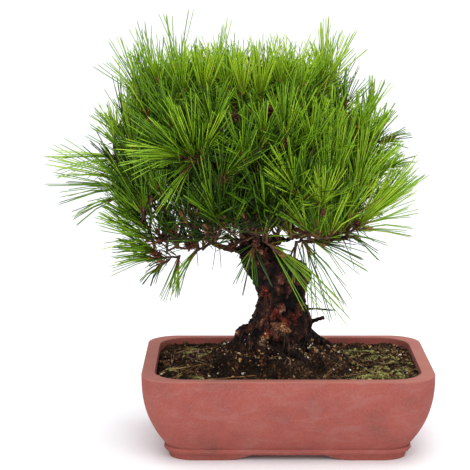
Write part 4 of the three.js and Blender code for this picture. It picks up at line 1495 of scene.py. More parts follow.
def shoot_tips(name, roll):
    middle, half, shoots, _ = MASSES[name]
    turn = 2 * math.pi * roll()
    tips = []
    for k in range(shoots):
        for _ in range(SHOOT["tries"]):
            level = 1 - (2 * k + 1 + stray(roll, SHOOT["level"])) / shoots
            angle = turn + GOLDEN_ANGLE * k + stray(roll, SHOOT["turn"])
            size = SHOOT["shell"] + (1 - SHOOT["shell"]) * roll()
            wander = spot((stray(roll, SHOOT["wander"]), stray(roll, SHOOT["wander"]),
                           SHOOT["upward"]))
            if abs(level) > 1:
                continue
            ring = math.sqrt(1 - level * level)
            out = spot((ring * math.cos(angle), ring * math.sin(angle), level))
            tip = spot(middle) + spot(half) * out * size
            away = unit(tip - CROWN_MIDDLE)
            aim = unit(out * SHOOT["outward"] + away * SHOOT["from_middle"] + wander)
            foot = tip - aim * SHOOT["core"]
            inside = all(in_cell(end, name, SHOOT["margin"]) for end in (tip, foot))
            if inside and clear_of_limbs(foot, tip, SHOOT["margin"]):
                tips.append((foot, tip, aim))
                break
    return tips


print("stretches of limb to stay clear of:", len(limb_rows))

# %% [markdown]
# Shoots need wood to stand on. Each mass has one stem that carries on from its bough. Shoots join
# in the order of their distance from it, and each leaves the nearest fork that it can reach
# without touching a limb, with a slight sag. That gives the zigzag ramification of a real crown.

# %% The rule that joins the shoots
def twig_tree(name, tips):
    start = BOUGHS[name][0][-1]
    hub = start + (MIDDLES[name] - start) * STEM["share"]
    forks = [(hub, 0.0)]
    grown = []
    for foot, tip, aim in sorted(tips, key=lambda shoot: long(shoot[0] - hub)):
        ranked = sorted(forks, key=lambda f: long(f[0] - foot) + TWIG["detour"] * f[1])
        for fork, far in ranked[:TWIG["tries"]]:
            length = long(foot - fork)
            bend = fork + (foot - fork) * 0.5
            bend[2] -= TWIG["sag"] * length
            if (length < TWIG["shortest"] or not in_cell(bend, name, TWIG["margin"])
                    or not clear_of_limbs(fork, bend, TWIG["radius"])
                    or not clear_of_limbs(bend, foot, TWIG["radius"])):
                continue
            grown.append({"mass": name, "start": fork, "bend": bend, "foot": foot,
                          "tip": tip, "aim": aim})
            forks += [(bend, far + length / 2), (foot, far + length)]
            break
    return (start, hub), grown


STEMS, SHOOTS = {}, []
for index, name in enumerate(MASSES):
    STEMS[name], grown = twig_tree(name, shoot_tips(name, dice(SEED + SEED_STEP * index)))
    SHOOTS += grown
print(len(SHOOTS), "shoots on", len(STEMS), "stems")

# %% [markdown]
# The frame stops at one spray per shoot. A real pine goes on: below each candle stand side shoots
# of the same year, which lean out from it. So each shoot is carried to finer twigs: one side
# shoot leaves the last stretch of its twig, shorter than the candle, and it keeps the same
# two promises, to stay in its mass and clear of the limbs. The older wood below the candle
# bears a few needles too.

# %% Side shoots
SIDE = {"tries": 7, "low": 0.1, "high": 0.95, "lean": (0.55, 1.25), "reach": (13, 23),
        "foot": 0.45, "tip": 0.6, "stray": 0.4, "margin": -5, "clear": 2, "upward": 0.25}
fine = np.random.default_rng(SEED)


def square_to(aim):
    """Two directions that are square to aim and to each other."""
    side = unit(np.cross(aim, spot((0.31, 0.87, 0.38))))
    return side, np.cross(aim, side)


def leaned(aim, lean, turn):
    """The direction that leans out from aim by an angle, at a turn about it."""
    side, up = square_to(aim)
    return (aim * math.cos(lean)
            + (side * math.cos(turn) + up * math.sin(turn)) * math.sin(lean))


SPRAYS = []
for shoot in SHOOTS:
    SPRAYS.append({**shoot, "rank": "candle"})
    SPRAYS.append({"mass": shoot["mass"], "foot": shoot["bend"], "tip": shoot["foot"],
                   "aim": unit(shoot["foot"] - shoot["bend"]), "rank": "old"})
    turn = fine.uniform(0, 2 * math.pi)
    for _ in range(SIDE["tries"]):
        share = fine.uniform(SIDE["low"], SIDE["high"])
        start = shoot["bend"] + (shoot["foot"] - shoot["bend"]) * share
        turn += GOLDEN_ANGLE + fine.uniform(-SIDE["stray"], SIDE["stray"])
        aim = leaned(shoot["aim"], fine.uniform(*SIDE["lean"]), turn)
        aim = unit(aim + spot((0, 0, SIDE["upward"])))
        foot = start + aim * fine.uniform(*SIDE["reach"]) * SIDE["foot"]
        tip = foot + aim * fine.uniform(*SIDE["reach"]) * SIDE["tip"]
        if (in_cell(tip, shoot["mass"], SIDE["margin"])
                and clear_of_limbs(foot, tip, SIDE["clear"])):
            SPRAYS.append({"mass": shoot["mass"], "start": start, "bend": None, "foot": foot,
                           "tip": tip, "aim": aim, "rank": "side"})
            break
print(len(SPRAYS), "sprays, side shoots among them:", len(SPRAYS) - 2 * len(SHOOTS))

# %% [markdown]
# The photograph shows where the crown ends and which shoots stand at its front. The edge is kept
# as how far the dense needles reach, every fifteen degrees round the crown's middle. A candle
# that stands close to that edge has turned up and in towards the light, as the lower and outer
# candles of a pine do. Its needles stay shorter, and each tuft ends a little nearer or further.

# %% The crown's edge
EDGE_MIDDLE = spot((-42, 0, 280))
EDGE_STEP = 15
CROWN_EDGE = np.array([165, 155, 160, 150, 160, 150, 140, 148, 158, 170, 152, 148,
                       152, 142, 132, 120, 78, 66, 62, 64, 70, 78, 92, 125], float)
EDGE_DEPTH = 165
EDGE_TURN = {"always": 0.45, "from": 0.6, "over": 0.3, "up": 0.9, "inwards": 0.4, "keep": 0.55}


def edge_at(points):
    """How far each point lies from the crown's middle, seen from the front, and how far it may."""
    gap = points - EDGE_MIDDLE
    turn = np.degrees(np.arctan2(gap[:, 2], gap[:, 0])) % 360
    low = (turn // EDGE_STEP).astype(int) % len(CROWN_EDGE)
    share = turn / EDGE_STEP - turn // EDGE_STEP
    reach = CROWN_EDGE[low] * (1 - share) + CROWN_EDGE[(low + 1) % len(CROWN_EDGE)] * share
    depth = np.clip(np.abs(points[:, 1]) / EDGE_DEPTH, 0, 0.95)
    return np.hypot(gap[:, 0], gap[:, 2]), reach * np.sqrt(1 - depth ** 2)


def turned(foot, tip, aim):
    """A candle's tip and aim, once it has turned up and away from the crown's edge."""
    far, reach = edge_at(tip[None, :])
    share = min(max((far[0] / reach[0] - EDGE_TURN["from"]) / EDGE_TURN["over"], 0), 1)
    inwards = unit(EDGE_MIDDLE - tip)
    new_aim = unit(aim * (1 - EDGE_TURN["keep"] * share)
                   + spot((0, 0, EDGE_TURN["always"] + EDGE_TURN["up"] * share))
                   + inwards * spot((1, 0, 0)) * EDGE_TURN["inwards"] * share)
    new_tip = foot + new_aim * long(tip - foot)
    if clear_of_limbs(foot, new_tip, SHOOT["margin"]):
        return new_tip, new_aim
    return tip, aim


for spray in SPRAYS:
    if spray["rank"] != "old":
        spray["tip"], spray["aim"] = turned(spray["foot"], spray["tip"], spray["aim"])
print("candles turned up at the crown's edge")

# %% [markdown]
# Then come the fans that the eye knows this tree by. Each is one candle at the front or on the
# outline, with its place as the picture shows it: across and down in the picture, and how deep
# it lies. The camera's own figures turn that into a place on the tree, and the candle is
# joined to the nearest fork by a twig, so that it stands on wood from any side.

# %% Fans that show in the picture
# Across, down, depth; turn from the right and lean to the front in degrees; needle length; how far
# the fan spreads; pairs; and its green, from 0 for the brightest, which carries the fan's painted
# light and shade as well as the age of its needles
FANS = [
    (142, 98, -30, 116, 5, 54, 20, 16, 1), (150, 96, -20, 106, 0, 54, 14, 12, 1),
    (153, 84, -20, 97, 0, 58, 7, 5, 1), (160, 92, -40, 100, 5, 52, 20, 13, 1),
    (175, 80, -20, 92, 0, 80, 7, 4, 1), (183, 98, -50, 94, 10, 54, 18, 14, 1),
    (204, 100, -55, 90, 10, 58, 15, 14, 0), (226, 104, -50, 84, 5, 60, 15, 13, 1),
    (214, 86, -30, 78, 0, 64, 8, 4, 1), (242, 98, -60, 90, 10, 54, 15, 14, 0),
    (259, 106, -55, 88, 5, 60, 14, 14, 0), (281, 94, -40, 92, 0, 54, 12, 14, 0),
    (288, 98, -35, 68, 0, 60, 14, 14, 0), (322, 88, -30, 86, 0, 60, 12, 14, 0),
    (324, 88, -30, 62, 0, 52, 13, 12, 0), (300, 98, -50, 76, 10, 48, 24, 12, 1),
    (344, 112, -30, 80, 0, 40, 24, 12, 2), (368, 118, -10, 80, 0, 38, 18, 13, 1),
    (378, 136, -10, 68, 0, 32, 12, 8, 1), (382, 142, -10, 22, 0, 24, 28, 8, 2),
    (352, 138, -50, 70, 10, 46, 26, 13, 1), (122, 136, -10, 138, 0, 42, 12, 5, 2),
    (116, 164, -20, 130, 0, 36, 10, 5, 3), (132, 160, -25, 124, 5, 46, 18, 16, 2),
    (126, 158, 0, 178, 0, 76, 7, 8, 1), (126, 180, 0, 161, 0, 78, 9, 9, 1),
    (124, 188, 0, 172, 0, 66, 9, 7, 2), (119, 198, 0, 192, 0, 46, 8, 5, 2),
    (140, 198, -25, 130, 5, 54, 15, 22, 2), (150, 215, -25, 130, 5, 54, 14, 22, 2),
    (148, 228, -30, 140, 5, 54, 13, 20, 2), (151, 240, -30, 152, 5, 60, 9, 14, 1),
    (154, 252, -30, 156, 0, 38, 20, 22, 2), (154, 258, -30, 174, 0, 35, 14, 10, 2),
    (163, 264, -25, 220, 0, 23, 26, 7, 3), (170, 257, -25, 188, 5, 23, 40, 8, 3),
    (179, 258, -20, 258, 0, 34, 12, 8, 2), (197, 250, -20, 230, 0, 42, 6, 7, 1),
    (160, 240, -40, 95, 10, 40, 40, 9, 3), (192, 245, -40, 100, 10, 44, 40, 9, 3),
    (184, 157, -85, 166, 15, 60, 14, 14, 1), (188, 158, -88, 138, 15, 66, 13, 14, 2),
    (193, 157, -90, 104, 15, 62, 13, 13, 1), (199, 158, -90, 66, 15, 50, 16, 13, 1),
    (191, 165, -88, 230, 10, 44, 8, 4, 1), (163, 197, -70, 112, 15, 50, 20, 14, 2),
    (222, 182, -95, 65, 15, 52, 24, 14, 2), (226, 228, -75, 120, 15, 60, 18, 14, 2),
    (234, 232, -75, 88, 15, 55, 22, 12, 2), (245, 162, -100, 98, 15, 52, 22, 15, 2),
    (212, 132, -90, 84, 15, 48, 20, 13, 2), (172, 128, -80, 104, 15, 48, 20, 13, 2),
    (150, 120, -60, 112, 10, 44, 20, 12, 2), (262, 144, -95, 82, 15, 50, 20, 13, 2),
    (285, 142, -90, 90, 15, 54, 18, 14, 1), (270, 222, -80, 105, 15, 58, 20, 14, 2),
    (298, 194, -95, 118, 15, 52, 18, 16, 1), (305, 196, -90, 95, 15, 54, 14, 14, 2),
    (306, 232, -80, 122, 15, 58, 18, 14, 1), (322, 206, -90, 88, 12, 42, 30, 20, 0),
    (326, 196, -80, 90, 8, 80, 8, 16, 1), (338, 186, -75, 88, 8, 74, 9, 15, 1),
    (330, 150, -70, 86, 12, 56, 16, 15, 1), (312, 150, -85, 88, 12, 52, 16, 14, 1),
    (358, 188, -65, 86, 10, 58, 18, 16, 1), (348, 218, -65, 78, 10, 58, 16, 15, 1),
    (364, 152, -50, 78, 8, 50, 18, 14, 1), (358, 226, -50, 48, 0, 70, 15, 20, 0),
    (366, 219, -45, 42, 0, 70, 12, 12, 1), (374, 208, -30, 54, 0, 52, 16, 15, 1),
    (368, 192, -40, 66, 5, 52, 16, 14, 1), (374, 172, -30, 48, 0, 36, 18, 11, 1),
    (384, 168, -15, 24, 0, 26, 18, 7, 2), (357, 226, -50, 18, 0, 66, 4, 3, 1),
    (357, 229, -50, 5, 0, 64, 4, 3, 1), (345, 234, -50, 342, 0, 34, 18, 4, 2),
    (312, 240, -60, 338, 0, 56, 16, 6, 2), (303, 242, -60, 302, 0, 62, 22, 7, 2),
    (296, 244, -55, 262, 0, 28, 18, 4, 3), (274, 247, -75, 325, 8, 82, 7, 4, 1),
    (273, 248, -75, 318, 8, 60, 14, 3, 2), (330, 236, -75, 75, 10, 56, 22, 14, 1),
    (318, 234, -80, 100, 10, 50, 22, 12, 2), (290, 236, -70, 108, 10, 44, 22, 11, 2),
    (215, 240, -40, 105, 8, 40, 26, 10, 3), (175, 240, -40, 122, 8, 40, 26, 10, 3),
    (340, 232, -60, 88, 8, 50, 22, 12, 2), (254, 246, -60, 262, 15, 40, 36, 8, 3),
    (238, 240, -35, 168, 5, 26, 30, 8, 3),
]
FAN = {"candle": 12, "below": 2, "opens": 1.25, "tip_opens": 2, "droop": 0.2, "tries": 6,
       "clear": 1.5}
OLD_BRUSH = {"length": 48, "pairs": 5, "open": (62, 35), "hang": 0.1}


def shown(points):
    """Where points of the tree show in the picture: across and down."""
    gap = points - EYE_MM
    depth = gap[:, 1] * math.cos(DOWN) - gap[:, 2] * math.sin(DOWN)
    up = gap[:, 1] * math.sin(DOWN) + gap[:, 2] * math.cos(DOWN)
    return PICTURE_MIDDLE + FOCUS * gap[:, 0] / depth, PICTURE_MIDDLE - FOCUS * up / depth


def nearest_way(foot, places):
    """The nearest fork that a twig can leave for a place, and the bend on its way."""
    near = sorted(places, key=lambda fork: long(fork - foot))
    for fork in near[:FAN["tries"]]:
        middle = (fork + foot) / 2 - spot((0, 0, TWIG["sag"] * long(foot - fork)))
        if (clear_of_limbs(fork, middle, FAN["clear"])
                and clear_of_limbs(middle, foot, FAN["clear"])):
            return fork, middle
    return near[0], (near[0] + foot) / 2


forks = [shoot["foot"] for shoot in SHOOTS] + [shoot["bend"] for shoot in SHOOTS]
forks += [hub for _, hub in STEMS.values()]
fan_sprays = []
for across, down, depth, turn, lean, reach, spread, pairs, green in FANS:
    base = seen_at(across, down, depth)
    turn, lean = math.radians(turn), math.radians(lean)
    aim = spot((math.cos(turn) * math.cos(lean), -math.sin(lean),
                math.sin(turn) * math.cos(lean)))
    foot, tip = base - aim * FAN["below"], base + aim * (FAN["candle"] - FAN["below"])
    start, bend = nearest_way(foot, forks)
    forks.append(foot)
    mass = min(MIDDLES, key=lambda name: long(MIDDLES[name] - base))
    brush = {"pairs": pairs, "length": reach, "open": (spread * FAN["opens"], FAN["tip_opens"]),
             "droop": FAN["droop"] * min(max(1 - 1.6 * aim[2], 0), 1)}
    fan_sprays.append({"mass": mass, "start": start, "bend": bend, "foot": foot, "tip": tip,
                       "aim": aim, "rank": "fan", "green": green, "brush": brush})
    for below, above in ((foot - aim * 5, foot + aim * 3), (bend, foot)):
        fan_sprays.append({"mass": mass, "foot": below, "tip": above, "aim": aim, "rank": "old",
                           "green": green + 1, "brush": OLD_BRUSH})
print(len(FANS), "fans, the longest twig to one",
      round(max(long(fan["foot"] - fan["start"]) for fan in fan_sprays[::3])), "mm")
SPRAYS += fan_sprays

# %% [markdown]
# Here and there a red-brown knot shows between the fans. It is a cluster of last year's bud scales
# and shed sheaths at the foot of a shoot. Each knot is a few dozen short scales round the end of
# a twig, placed as the fans are.

# %% Knots of bud scales
KNOTS = [  # across, down and depth, and how wide the knot is
    (271, 112, -88, 12), (233, 118, -88, 10), (139, 96, -38, 10), (302, 92, -46, 8),
    (222, 181, -97, 9), (198, 160, -92, 10), (180, 155, -88, 8), (305, 233, -78, 12),
    (293, 231, -70, 9), (357, 187, -68, 8), (161, 209, -48, 8), (162, 238, -42, 11),
    (190, 245, -42, 12), (157, 256, -32, 10), (270, 218, -82, 9), (357, 225, -52, 9),
    (322, 212, -92, 7), (232, 246, -34, 10), (256, 243, -62, 8), (188, 158, -88, 8),
]
KNOT = {"scales": 60, "length": (0.35, 0.62), "radius": 0.8, "swell": 0.45, "core": 0.12,
        "lean": (0, -0.3, 0.4), "stalk": 1.8}
knot_ways, knot_scales = [], []
for across, down, depth, size in KNOTS:
    place = seen_at(across, down, depth)
    knot_ways.append((*nearest_way(place, forks), place))
    out = fine.normal(0, 1, (KNOT["scales"], 3)) + spot(KNOT["lean"])
    out /= np.linalg.norm(out, axis=1)[:, None]
    tall = size * fine.uniform(*KNOT["length"], KNOT["scales"])
    knot_scales.append((place + out * size * KNOT["core"], out, tall))
print(len(KNOTS), "knots of bud scales")

# %% [markdown]
# Between the fans the crown is open: the eye falls into dark hollows where only brown twigs show,
# and low on the left the sky comes through. Needles that would fill such a hollow are left out.
# A hollow is a round place in the picture, and only what lies before a depth is cleared.

# %% Hollows in the crown
HOLLOWS = [  # across, down, how far round, and what is cleared lies in front of this depth
    (232, 118, 9, -40), (270, 112, 10, -40), (148, 108, 7, -30), (205, 108, 7, -40),
    (186, 176, 8, -40), (218, 170, 8, -50), (160, 206, 10, -30), (304, 217, 8, -40),
    (245, 190, 8, -50), (288, 175, 6, -50), (345, 226, 6, -30), (240, 215, 8, -40),
    (161, 221, 12, 200), (173, 227, 10, 200), (187, 229, 9, 200), (205, 227, 9, 200),
    (176, 199, 5, 200), (168, 208, 6, 200), (182, 209, 7, 200), (195, 214, 7, 200),
    (158, 213, 6, 200), (398, 134, 8, 200), (182, 249, 6, 200), (208, 243, 6, 200),
    (352, 94, 8, 200), (290, 240, 6, 200), (280, 228, 6, 200), (180, 190, 4, 200),
    (270, 238, 6, 200), (269, 52, 6, 200), (299, 52, 5, 200), (241, 44, 4, 200),
]
HOLLOW_SOFT = 0.18


def clear_of_hollows(root, direction, length, arch, grow):
    """Keeps the needles that don't cross a hollow of the crown."""
    keep = np.ones(len(root), bool)
    for share in (0.15, 0.35, 0.55, 0.75, 0.95):
        places = needle_points(root, direction, length, arch, share)
        across, down = shown(places)
        for middle_across, middle_down, reach, before in HOLLOWS:
            inside = np.hypot(across - middle_across, down - middle_down) < reach
            keep &= ~(inside & (places[:, 1] < before))
    return keep | (grow.uniform(0, 1, len(root)) < HOLLOW_SOFT)


print(len(HOLLOWS), "hollows")

# %% [markdown]
# The twigs are tubes again. Each candle is a little thicker than the twig below it, because it is
# wrapped in the feet of its needles.

# %% Twigs
CANDLE_RADIUS = {"candle": 2.1, "side": 1.6, "old": 1.3, "fan": 1.9}
CANDLE_TAPER = 0.7
twig_limbs = []
for start, hub in STEMS.values():
    widths = [STEM["radius"] * share for share in (STEM["collar"], 1, STEM["taper"])]
    twig_limbs.append(smooth([start - (hub - start) * STEM["inset"], start, hub], widths))
for spray in SPRAYS:
    if spray["rank"] == "old":
        continue
    thick = CANDLE_RADIUS[spray["rank"]]
    path = [p for p in (spray["start"], spray["bend"], spray["foot"], spray["tip"])
            if p is not None]
    radii = [TWIG["radius"]] * (len(path) - 2) + [thick, thick * CANDLE_TAPER]
    twig_limbs.append(smooth(path, radii, TWIG["step"]))
for way in knot_ways:
    twig_limbs.append(smooth(way, [TWIG["radius"]] * 2 + [KNOT["stalk"]], TWIG["step"]))
twigs = tubes("twigs_of_the_crown", twig_limbs, 1)
bpy.ops.object.shade_smooth()
print(len(twig_limbs), "twigs")

# %% [markdown]
# Two-year-old pine twigs are rough with the stubs of fallen needle pairs, and their bark is an
# orange brown that is paler in places. Stubs are about a millimetre, so they are left to
# the bump, drawn at 1.6 mm.

# %% Young pine twig bark
STUB_MM = 1.6
TWIG_PATCH_MM = 9
young_twig, tree, skin, place = new_finish("young_pine_twig_bark")
stubs = add(tree, "TexVoronoi", {"Vector": place, "Scale": 1000 / STUB_MM})
drift = add(tree, "TexNoise", {
    "Vector": place, "Scale": 1000 / TWIG_PATCH_MM, "Detail": 3.0})
tone = add(tree, "ValToRGB", {"Fac": drift}, stops=[
    (0.3, "#20130B"), (0.48, "#412615"), (0.6, "#5F3B1E"), (0.75, "#855A2E")])
stub_bump = add(tree, "Bump", {"Height": stubs, "Strength": 0.8, "Distance": 0.7 * MM})
feed(tree, skin, {"Base Color": tone, "Roughness": 0.8, "Normal": stub_bump})
coat(twigs, young_twig)
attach(twigs, "root")
print("twigs:", len(twigs.data.polygons), "faces")

# %% [markdown]
# ## Needles
# Red pine needles grow in pairs from a brown papery sheath. They are 65 to 80 mm long and one
# millimetre wide, soft enough to arch a little, and are drawn a little wider here so that they
# close the crown. Near the foot of a candle they stand out wide from it, and near its tip they
# lie along it, which is what makes a pine's brush. There are over twelve thousand, so they are
# made from arrays: a needle has three sides and four levels that end in a point, sixteen faces
# in all.

# %% The needles of every spray
NEEDLE = {"shortest": 0.78, "longest": 1.06, "wander": 8, "apart": (1.5, 4.5),
          "spent": 0.005, "wisp": 0.06, "wisp_reach": 1.22, "on_bark": 0.6, "clear": 0.8}
# How many pairs, how long, from where to where on the shoot, how far they open at its foot and
# tip, how they lift or hang, how much they arch, and their radius
BRUSH = {
    "candle": {"pairs": 28, "length": 73, "zone": (0.2, 1.1), "open": (58, 5), "lift": 0.12,
               "arch": 0.06, "hang": 0.05, "radius": 0.58},
    "side": {"pairs": 12, "length": 64, "zone": (0.2, 1.1), "open": (58, 8), "lift": 0.1,
             "arch": 0.07, "hang": 0.06, "radius": 0.56},
    "fan": {"pairs": 14, "length": 60, "zone": (0.0, 1.05), "open": (30, 4), "lift": 0.0,
            "arch": 0.09, "hang": 0.06, "radius": 0.6, "gather": 0.5},
    "old": {"pairs": 5, "length": 66, "zone": (0.0, 1.0), "open": (80, 50), "lift": -0.15,
            "arch": 0.1, "hang": 0.22, "radius": 0.5},
}
LEVELS = np.array([0, 0.45, 0.94, 1.0])
LEVEL_WIDTH = np.array([0.85, 1.0, 0.8])


def needle_pairs(spray, grow):
    """Roots, directions, lengths and arches of one spray's needles."""
    brush = {**BRUSH[spray["rank"]], **spray.get("brush", {})}
    pairs = brush["pairs"]
    aim = spray["aim"]
    side, up = square_to(aim)
    along = (np.arange(pairs) + grow.uniform(0, 1, pairs)) / pairs
    turn = grow.uniform(0, 2 * math.pi) + GOLDEN_ANGLE * np.arange(pairs)
    turn = turn + grow.uniform(-0.25, 0.25, pairs)
    open_low, open_high = brush["open"]
    open_deg = open_high + (open_low - open_high) * (1 - along) ** brush.get("gather", 1)
    opening = np.radians(open_deg + NEEDLE["wander"] * grow.uniform(-1, 1, pairs))
    out = side * np.cos(turn)[:, None] + up * np.sin(turn)[:, None]
    share = brush["zone"][0] + (brush["zone"][1] - brush["zone"][0]) * along[:, None]
    root = (spray["foot"] + (spray["tip"] - spray["foot"]) * share
            + out * CANDLE_RADIUS[spray["rank"]] * NEEDLE["on_bark"])
    direction = aim * np.cos(opening)[:, None] + out * np.sin(opening)[:, None]
    direction[:, 2] += brush["lift"]
    length = brush["length"] * grow.uniform(NEEDLE["shortest"], NEEDLE["longest"], pairs)
    length[grow.uniform(0, 1, pairs) < NEEDLE["wisp"]] *= NEEDLE["wisp_reach"]
    arch = grow.normal(0, 1, (pairs, 3)) * brush["arch"]
    arch[:, 2] -= brush["hang"] * np.sin(opening) + brush.get("droop", 0)
    across = np.cross(direction, grow.normal(0, 1, (pairs, 3)))
    across /= np.linalg.norm(across, axis=1)[:, None]
    split = np.radians(grow.uniform(*NEEDLE["apart"], pairs))[:, None]
    both = np.concatenate([direction + across * np.tan(split), direction - across * np.tan(split)])
    both /= np.linalg.norm(both, axis=1)[:, None]
    stretch = np.concatenate([length, length * grow.uniform(0.95, 1.0, pairs)])
    return [np.tile(root, (2, 1)), both, stretch, np.tile(arch, (2, 1))]


def clear_needles(root, direction, length, arch):
    """Keeps the needles that pass through no limb."""
    keep = np.ones(len(root), bool)
    v = LIMB_B - LIMB_A
    vv = (v * v).sum(1)
    for share in (0.25, 0.5, 0.75, 1.0):
        places = needle_points(root, direction, length, arch, share)
        for a, along, size, radius in zip(LIMB_A, v, vv, LIMB_R):
            t = np.clip((places - a) @ along / size, 0, 1)
            gap = np.linalg.norm(places - a - t[:, None] * along, axis=1)
            keep &= gap > radius + NEEDLE["clear"]
    return keep


print("brushes:", ", ".join(BRUSH))

# %% [markdown]
# A needle is waxy green and slightly glossy. This year's growth at the outside is a bright yellow
# green, and the older needles inside are deep and dull. The darkest greens are also painted shade
# deep in the crown, and the lighter greens at the top are partly painted light. Each finish has one
# plain green. A spray gets its green by how far out and how high it stands, and its needles stray a
# little from that. A few spent needles turn straw brown. The stripes of pores along a needle are
# far under a pixel, so the roughness alone stands for them, in drifts of 6 mm.

# %% Needle greens
GREENS = {
    "new_needles_yellow_green": ("#A8C92C", 0.4),
    "fresh_needles_green": ("#85AF1C", 0.4),
    "mid_needles_green": ("#60890F", 0.42),
    "deep_needles_green_and_shade": ("#315203", 0.45),
    "inner_needles_dark_green_and_shade": ("#0F1D01", 0.5),
    "spent_needles_straw": ("#8F8238", 0.6),
}
PORES_MM = 6
needle_finishes = []
for name, (code, roughness) in GREENS.items():
    finish, tree, skin, place = new_finish(name)
    pores = add(tree, "TexNoise", {"Vector": place, "Scale": 1000 / PORES_MM, "Detail": 2.0})
    wax = add(tree, "MapRange", {
        "Value": pores, "From Min": 0.3, "From Max": 0.7,
        "To Min": roughness - 0.14, "To Max": roughness + 0.06})
    feed(tree, skin, {"Base Color": paint(code), "IOR": 1.42, "Specular IOR Level": 0.4,
                      "Roughness": wax})
    needle_finishes.append(finish)
STRAW = len(GREENS) - 1
print(len(needle_finishes), "needle greens, the last for spent needles")

# %% [markdown]
# Which green a spray has follows from where it stands: a share of its distance from the crown's
# middle, darker inside for older needles and as painted shade, a little darker for older wood, for
# the crown's front, which is in the shade of its own brushes, and for a shoot that lies flat, and a
# little lighter at the top, as painted light.

# %% The rule of the greens
SHADE = {"crown": (150, 100, 160), "middle": 1.25, "stray": 0.16, "side": 0.25, "old": 0.8,
         "front": 0.3, "front_over": 60, "flat": 0.2, "flat_below": 0.1, "top": 0.15,
         "top_from": 300, "top_over": 100, "steps": 3.4, "first": 0.6}


def green_of(spray, grow):
    """The number of a spray's green: low for bright outer growth, high for the inside and its
    painted shade.
    """
    if "green" in spray:
        return spray["green"] + 0.5
    # Deeper in the crown the green is darker: older needles, and painted shade.
    away = (spray["tip"] - CROWN_MIDDLE) / spot(SHADE["crown"])
    depth = SHADE["middle"] - long(away) + grow.normal(0, SHADE["stray"])
    depth += SHADE.get(spray["rank"], 0)
    depth += SHADE["front"] * min(max(-spray["tip"][1] / SHADE["front_over"], 0), 1)
    depth += SHADE["flat"] if spray["aim"][2] < SHADE["flat_below"] else 0
    # Painted light: sprays high in the crown get a lighter green.
    depth -= SHADE["top"] * min(
        max((spray["tip"][2] - SHADE["top_from"]) / SHADE["top_over"], 0), 1)
    return depth * SHADE["steps"] + SHADE["first"]


print("a green number goes from 0, the brightest, to", STRAW - 1)

# %% [markdown]
# Now every spray is given its needles, mass by mass. Needles are left out where they would pass
# through a limb, fill a hollow or hang straight down, and a needle that would pass the crown's
# edge is kept short, or left out. Each mass becomes one piece, and stands for the frame's own.

# %% Needle pieces, one for each mass
EDGE_JITTER = (0.92, 1.06)
EDGE_TUFT = (0.74, 1.1)
EDGE_LEAST, EDGE_SHARE = 0.45, 0.5
GREEN_MIX = 0.65
HANG_LIMIT, HANG_SHARE = -0.25, 0.2
grow = np.random.default_rng(SEED + 1)
sheath_rows = []
total = 0
for name in MASSES:
    rows, greens = [], []
    for spray in SPRAYS:
        if spray["mass"] != name:
            continue
        row = needle_pairs(spray, grow)
        if spray["rank"] == "fan":
            keep = clear_needles(*row)
        else:
            root, direction, length, arch = row
            far, _ = edge_at(root)
            tip_far, reach = edge_at(needle_points(*row, 1.0))
            reach = reach * grow.uniform(*EDGE_TUFT) * grow.uniform(*EDGE_JITTER, len(root))
            room = np.clip((reach - far) / np.maximum(tip_far - far, 1e-6), EDGE_LEAST, 1)
            past = tip_far > reach
            row[2] = np.where(past, length * room, length)
            keep = clear_needles(*row) & clear_of_hollows(*row, grow)
            keep &= (direction[:, 2] > HANG_LIMIT) | (grow.uniform(0, 1, len(root)) < HANG_SHARE)
            keep &= ~past | (grow.uniform(0, 1, len(root)) < EDGE_SHARE)
        row = [part[keep] for part in row]
        green = green_of(spray, grow) + grow.normal(0, GREEN_MIX, len(row[0]))
        green = np.clip(green, 0, STRAW - 1).astype(int)
        green[grow.uniform(0, 1, len(green)) < NEEDLE["spent"]] = STRAW
        row.append(BRUSH[spray["rank"]]["radius"] * grow.uniform(0.85, 1.1, len(green)))
        rows.append(row)
        greens.append(green)
    root, direction, length, arch, radius = (np.concatenate(part) for part in zip(*rows))
    points, triangles, per = rods(root, direction, length, arch, radius, LEVELS, LEVEL_WIDTH)
    needles = built(f"needles_{name}", points, triangles,
                    np.repeat(np.concatenate(greens), per), needle_finishes)
    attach(needles, "root")
    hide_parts(f"foliage_{name}")
    sheath_rows.append((root[::2], direction[::2]))
    total += len(root)
print(total, "needles,", total * per, "triangles")

# %% [markdown]
# At the foot of each pair sits its sheath, a few millimetres of brown paper with fibres along it.
# The knots take the same slim rods, in the dull brown of old bud scales, which weather in
# patches of about 3 mm. Both are small, but they give the brown hearts of the green brushes.

# %% Sheaths and knots
SHEATH = {"length": 7.0, "radius": 0.85}
FIBRE_MM = 2.5
MOTTLE_MM = 3
SHED_FINISHES = {  # size of the grain, colours, roughness, and how deep the grain is
    "papery_needle_sheath": (
        FIBRE_MM, [(0.32, "#3B2210"), (0.5, "#784A20"), (0.68, "#B5803F")], 0.7, 0.3),
    "weathered_bud_scales": (
        MOTTLE_MM, [(0.34, "#1C0C07"), (0.5, "#4C2212"), (0.66, "#8A4F2A")], 0.75, 0.4),
}
shed_finishes = []
for name, (grain_mm, stops, roughness, depth) in SHED_FINISHES.items():
    finish, tree, skin, place = new_finish(name)
    grain = add(tree, "TexNoise", {"Vector": place, "Scale": 1000 / grain_mm, "Detail": 3.0})
    tone = add(tree, "ValToRGB", {"Fac": grain}, stops=stops)
    dents = add(tree, "Bump", {"Height": grain, "Strength": 0.5, "Distance": depth * MM})
    feed(tree, skin, {"Base Color": tone, "Roughness": roughness, "Normal": dents})
    shed_finishes.append(finish)
papery, old_scales = shed_finishes

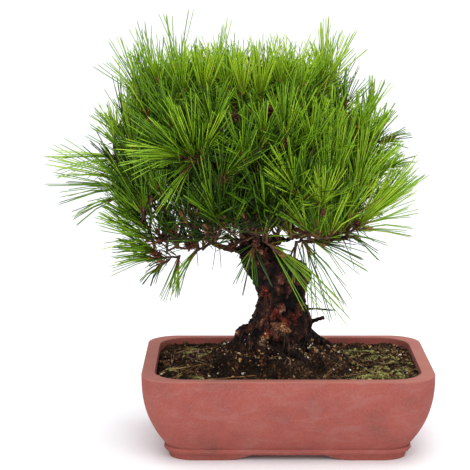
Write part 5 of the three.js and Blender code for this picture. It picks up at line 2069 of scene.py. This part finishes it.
root, direction = (np.concatenate(part) for part in zip(*sheath_rows))
points, triangles, per = rods(
    root, direction, np.full(len(root), SHEATH["length"]), np.zeros_like(root),
    np.full(len(root), SHEATH["radius"]), np.array([0, 1.0]), np.array([1.0, 0.75]), pointed=False)
sheaths = built("needle_sheaths", points, triangles, np.zeros(len(triangles)), [papery])
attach(sheaths, "root")

root, direction, tall = (np.concatenate(part) for part in zip(*knot_scales))
points, triangles, per = rods(
    root, direction, tall, np.zeros_like(root), np.full(len(root), KNOT["radius"]),
    np.array([0, 0.5, 1.0]), np.array([0.7, 1.0 + KNOT["swell"], 0.5]), pointed=False)
scales = built("knots_of_bud_scales", points, triangles, np.zeros(len(triangles)), [old_scales])
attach(scales, "root")
print("sheaths:", len(sheaths.data.polygons), "faces, knots:", len(scales.data.polygons), "faces")

# %% [markdown]
# Every shoot ends in a red-brown bud that waits for spring, a small spindle with a soft gloss of
# resin. Its scales overlap every millimetre or so, and are drawn at 1.4 mm in the bump.

# %% Winter buds
BUD_STEPS = [(0, 1.3), (2.2, 2.0), (5.0, 1.7), (7.5, 0.8), (9.5, 0.2)]  # height and radius
SMALL_BUD = 0.75
BUD_SCALE_MM = 1.4
bud_limbs = []
for spray in SPRAYS:
    if spray["rank"] == "old":
        continue
    small = 1.0 if spray["rank"] == "candle" else SMALL_BUD
    bud_limbs.append(([spray["tip"] + spray["aim"] * far * small for far, _ in BUD_STEPS],
                      [r * small for _, r in BUD_STEPS]))
buds = tubes("winter_buds", bud_limbs, 1)
bpy.ops.object.shade_smooth()
resin, tree, skin, place = new_finish("resinous_bud_scales")
scaly = add(tree, "TexVoronoi", {"Vector": place, "Scale": 1000 / BUD_SCALE_MM})
tone = add(tree, "ValToRGB", {"Fac": scaly}, stops=[
    (0.1, "#5A2A18"), (0.5, "#7F4428"), (0.9, "#B07F58")])
overlaps = add(tree, "Bump", {"Height": scaly, "Strength": 0.7, "Distance": 0.5 * MM})
feed(tree, skin, {"Base Color": tone, "Roughness": 0.5, "Normal": overlaps})
coat(buds, resin)
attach(buds, "root")
print("buds:", len(bud_limbs), "with", len(buds.data.polygons), "faces")
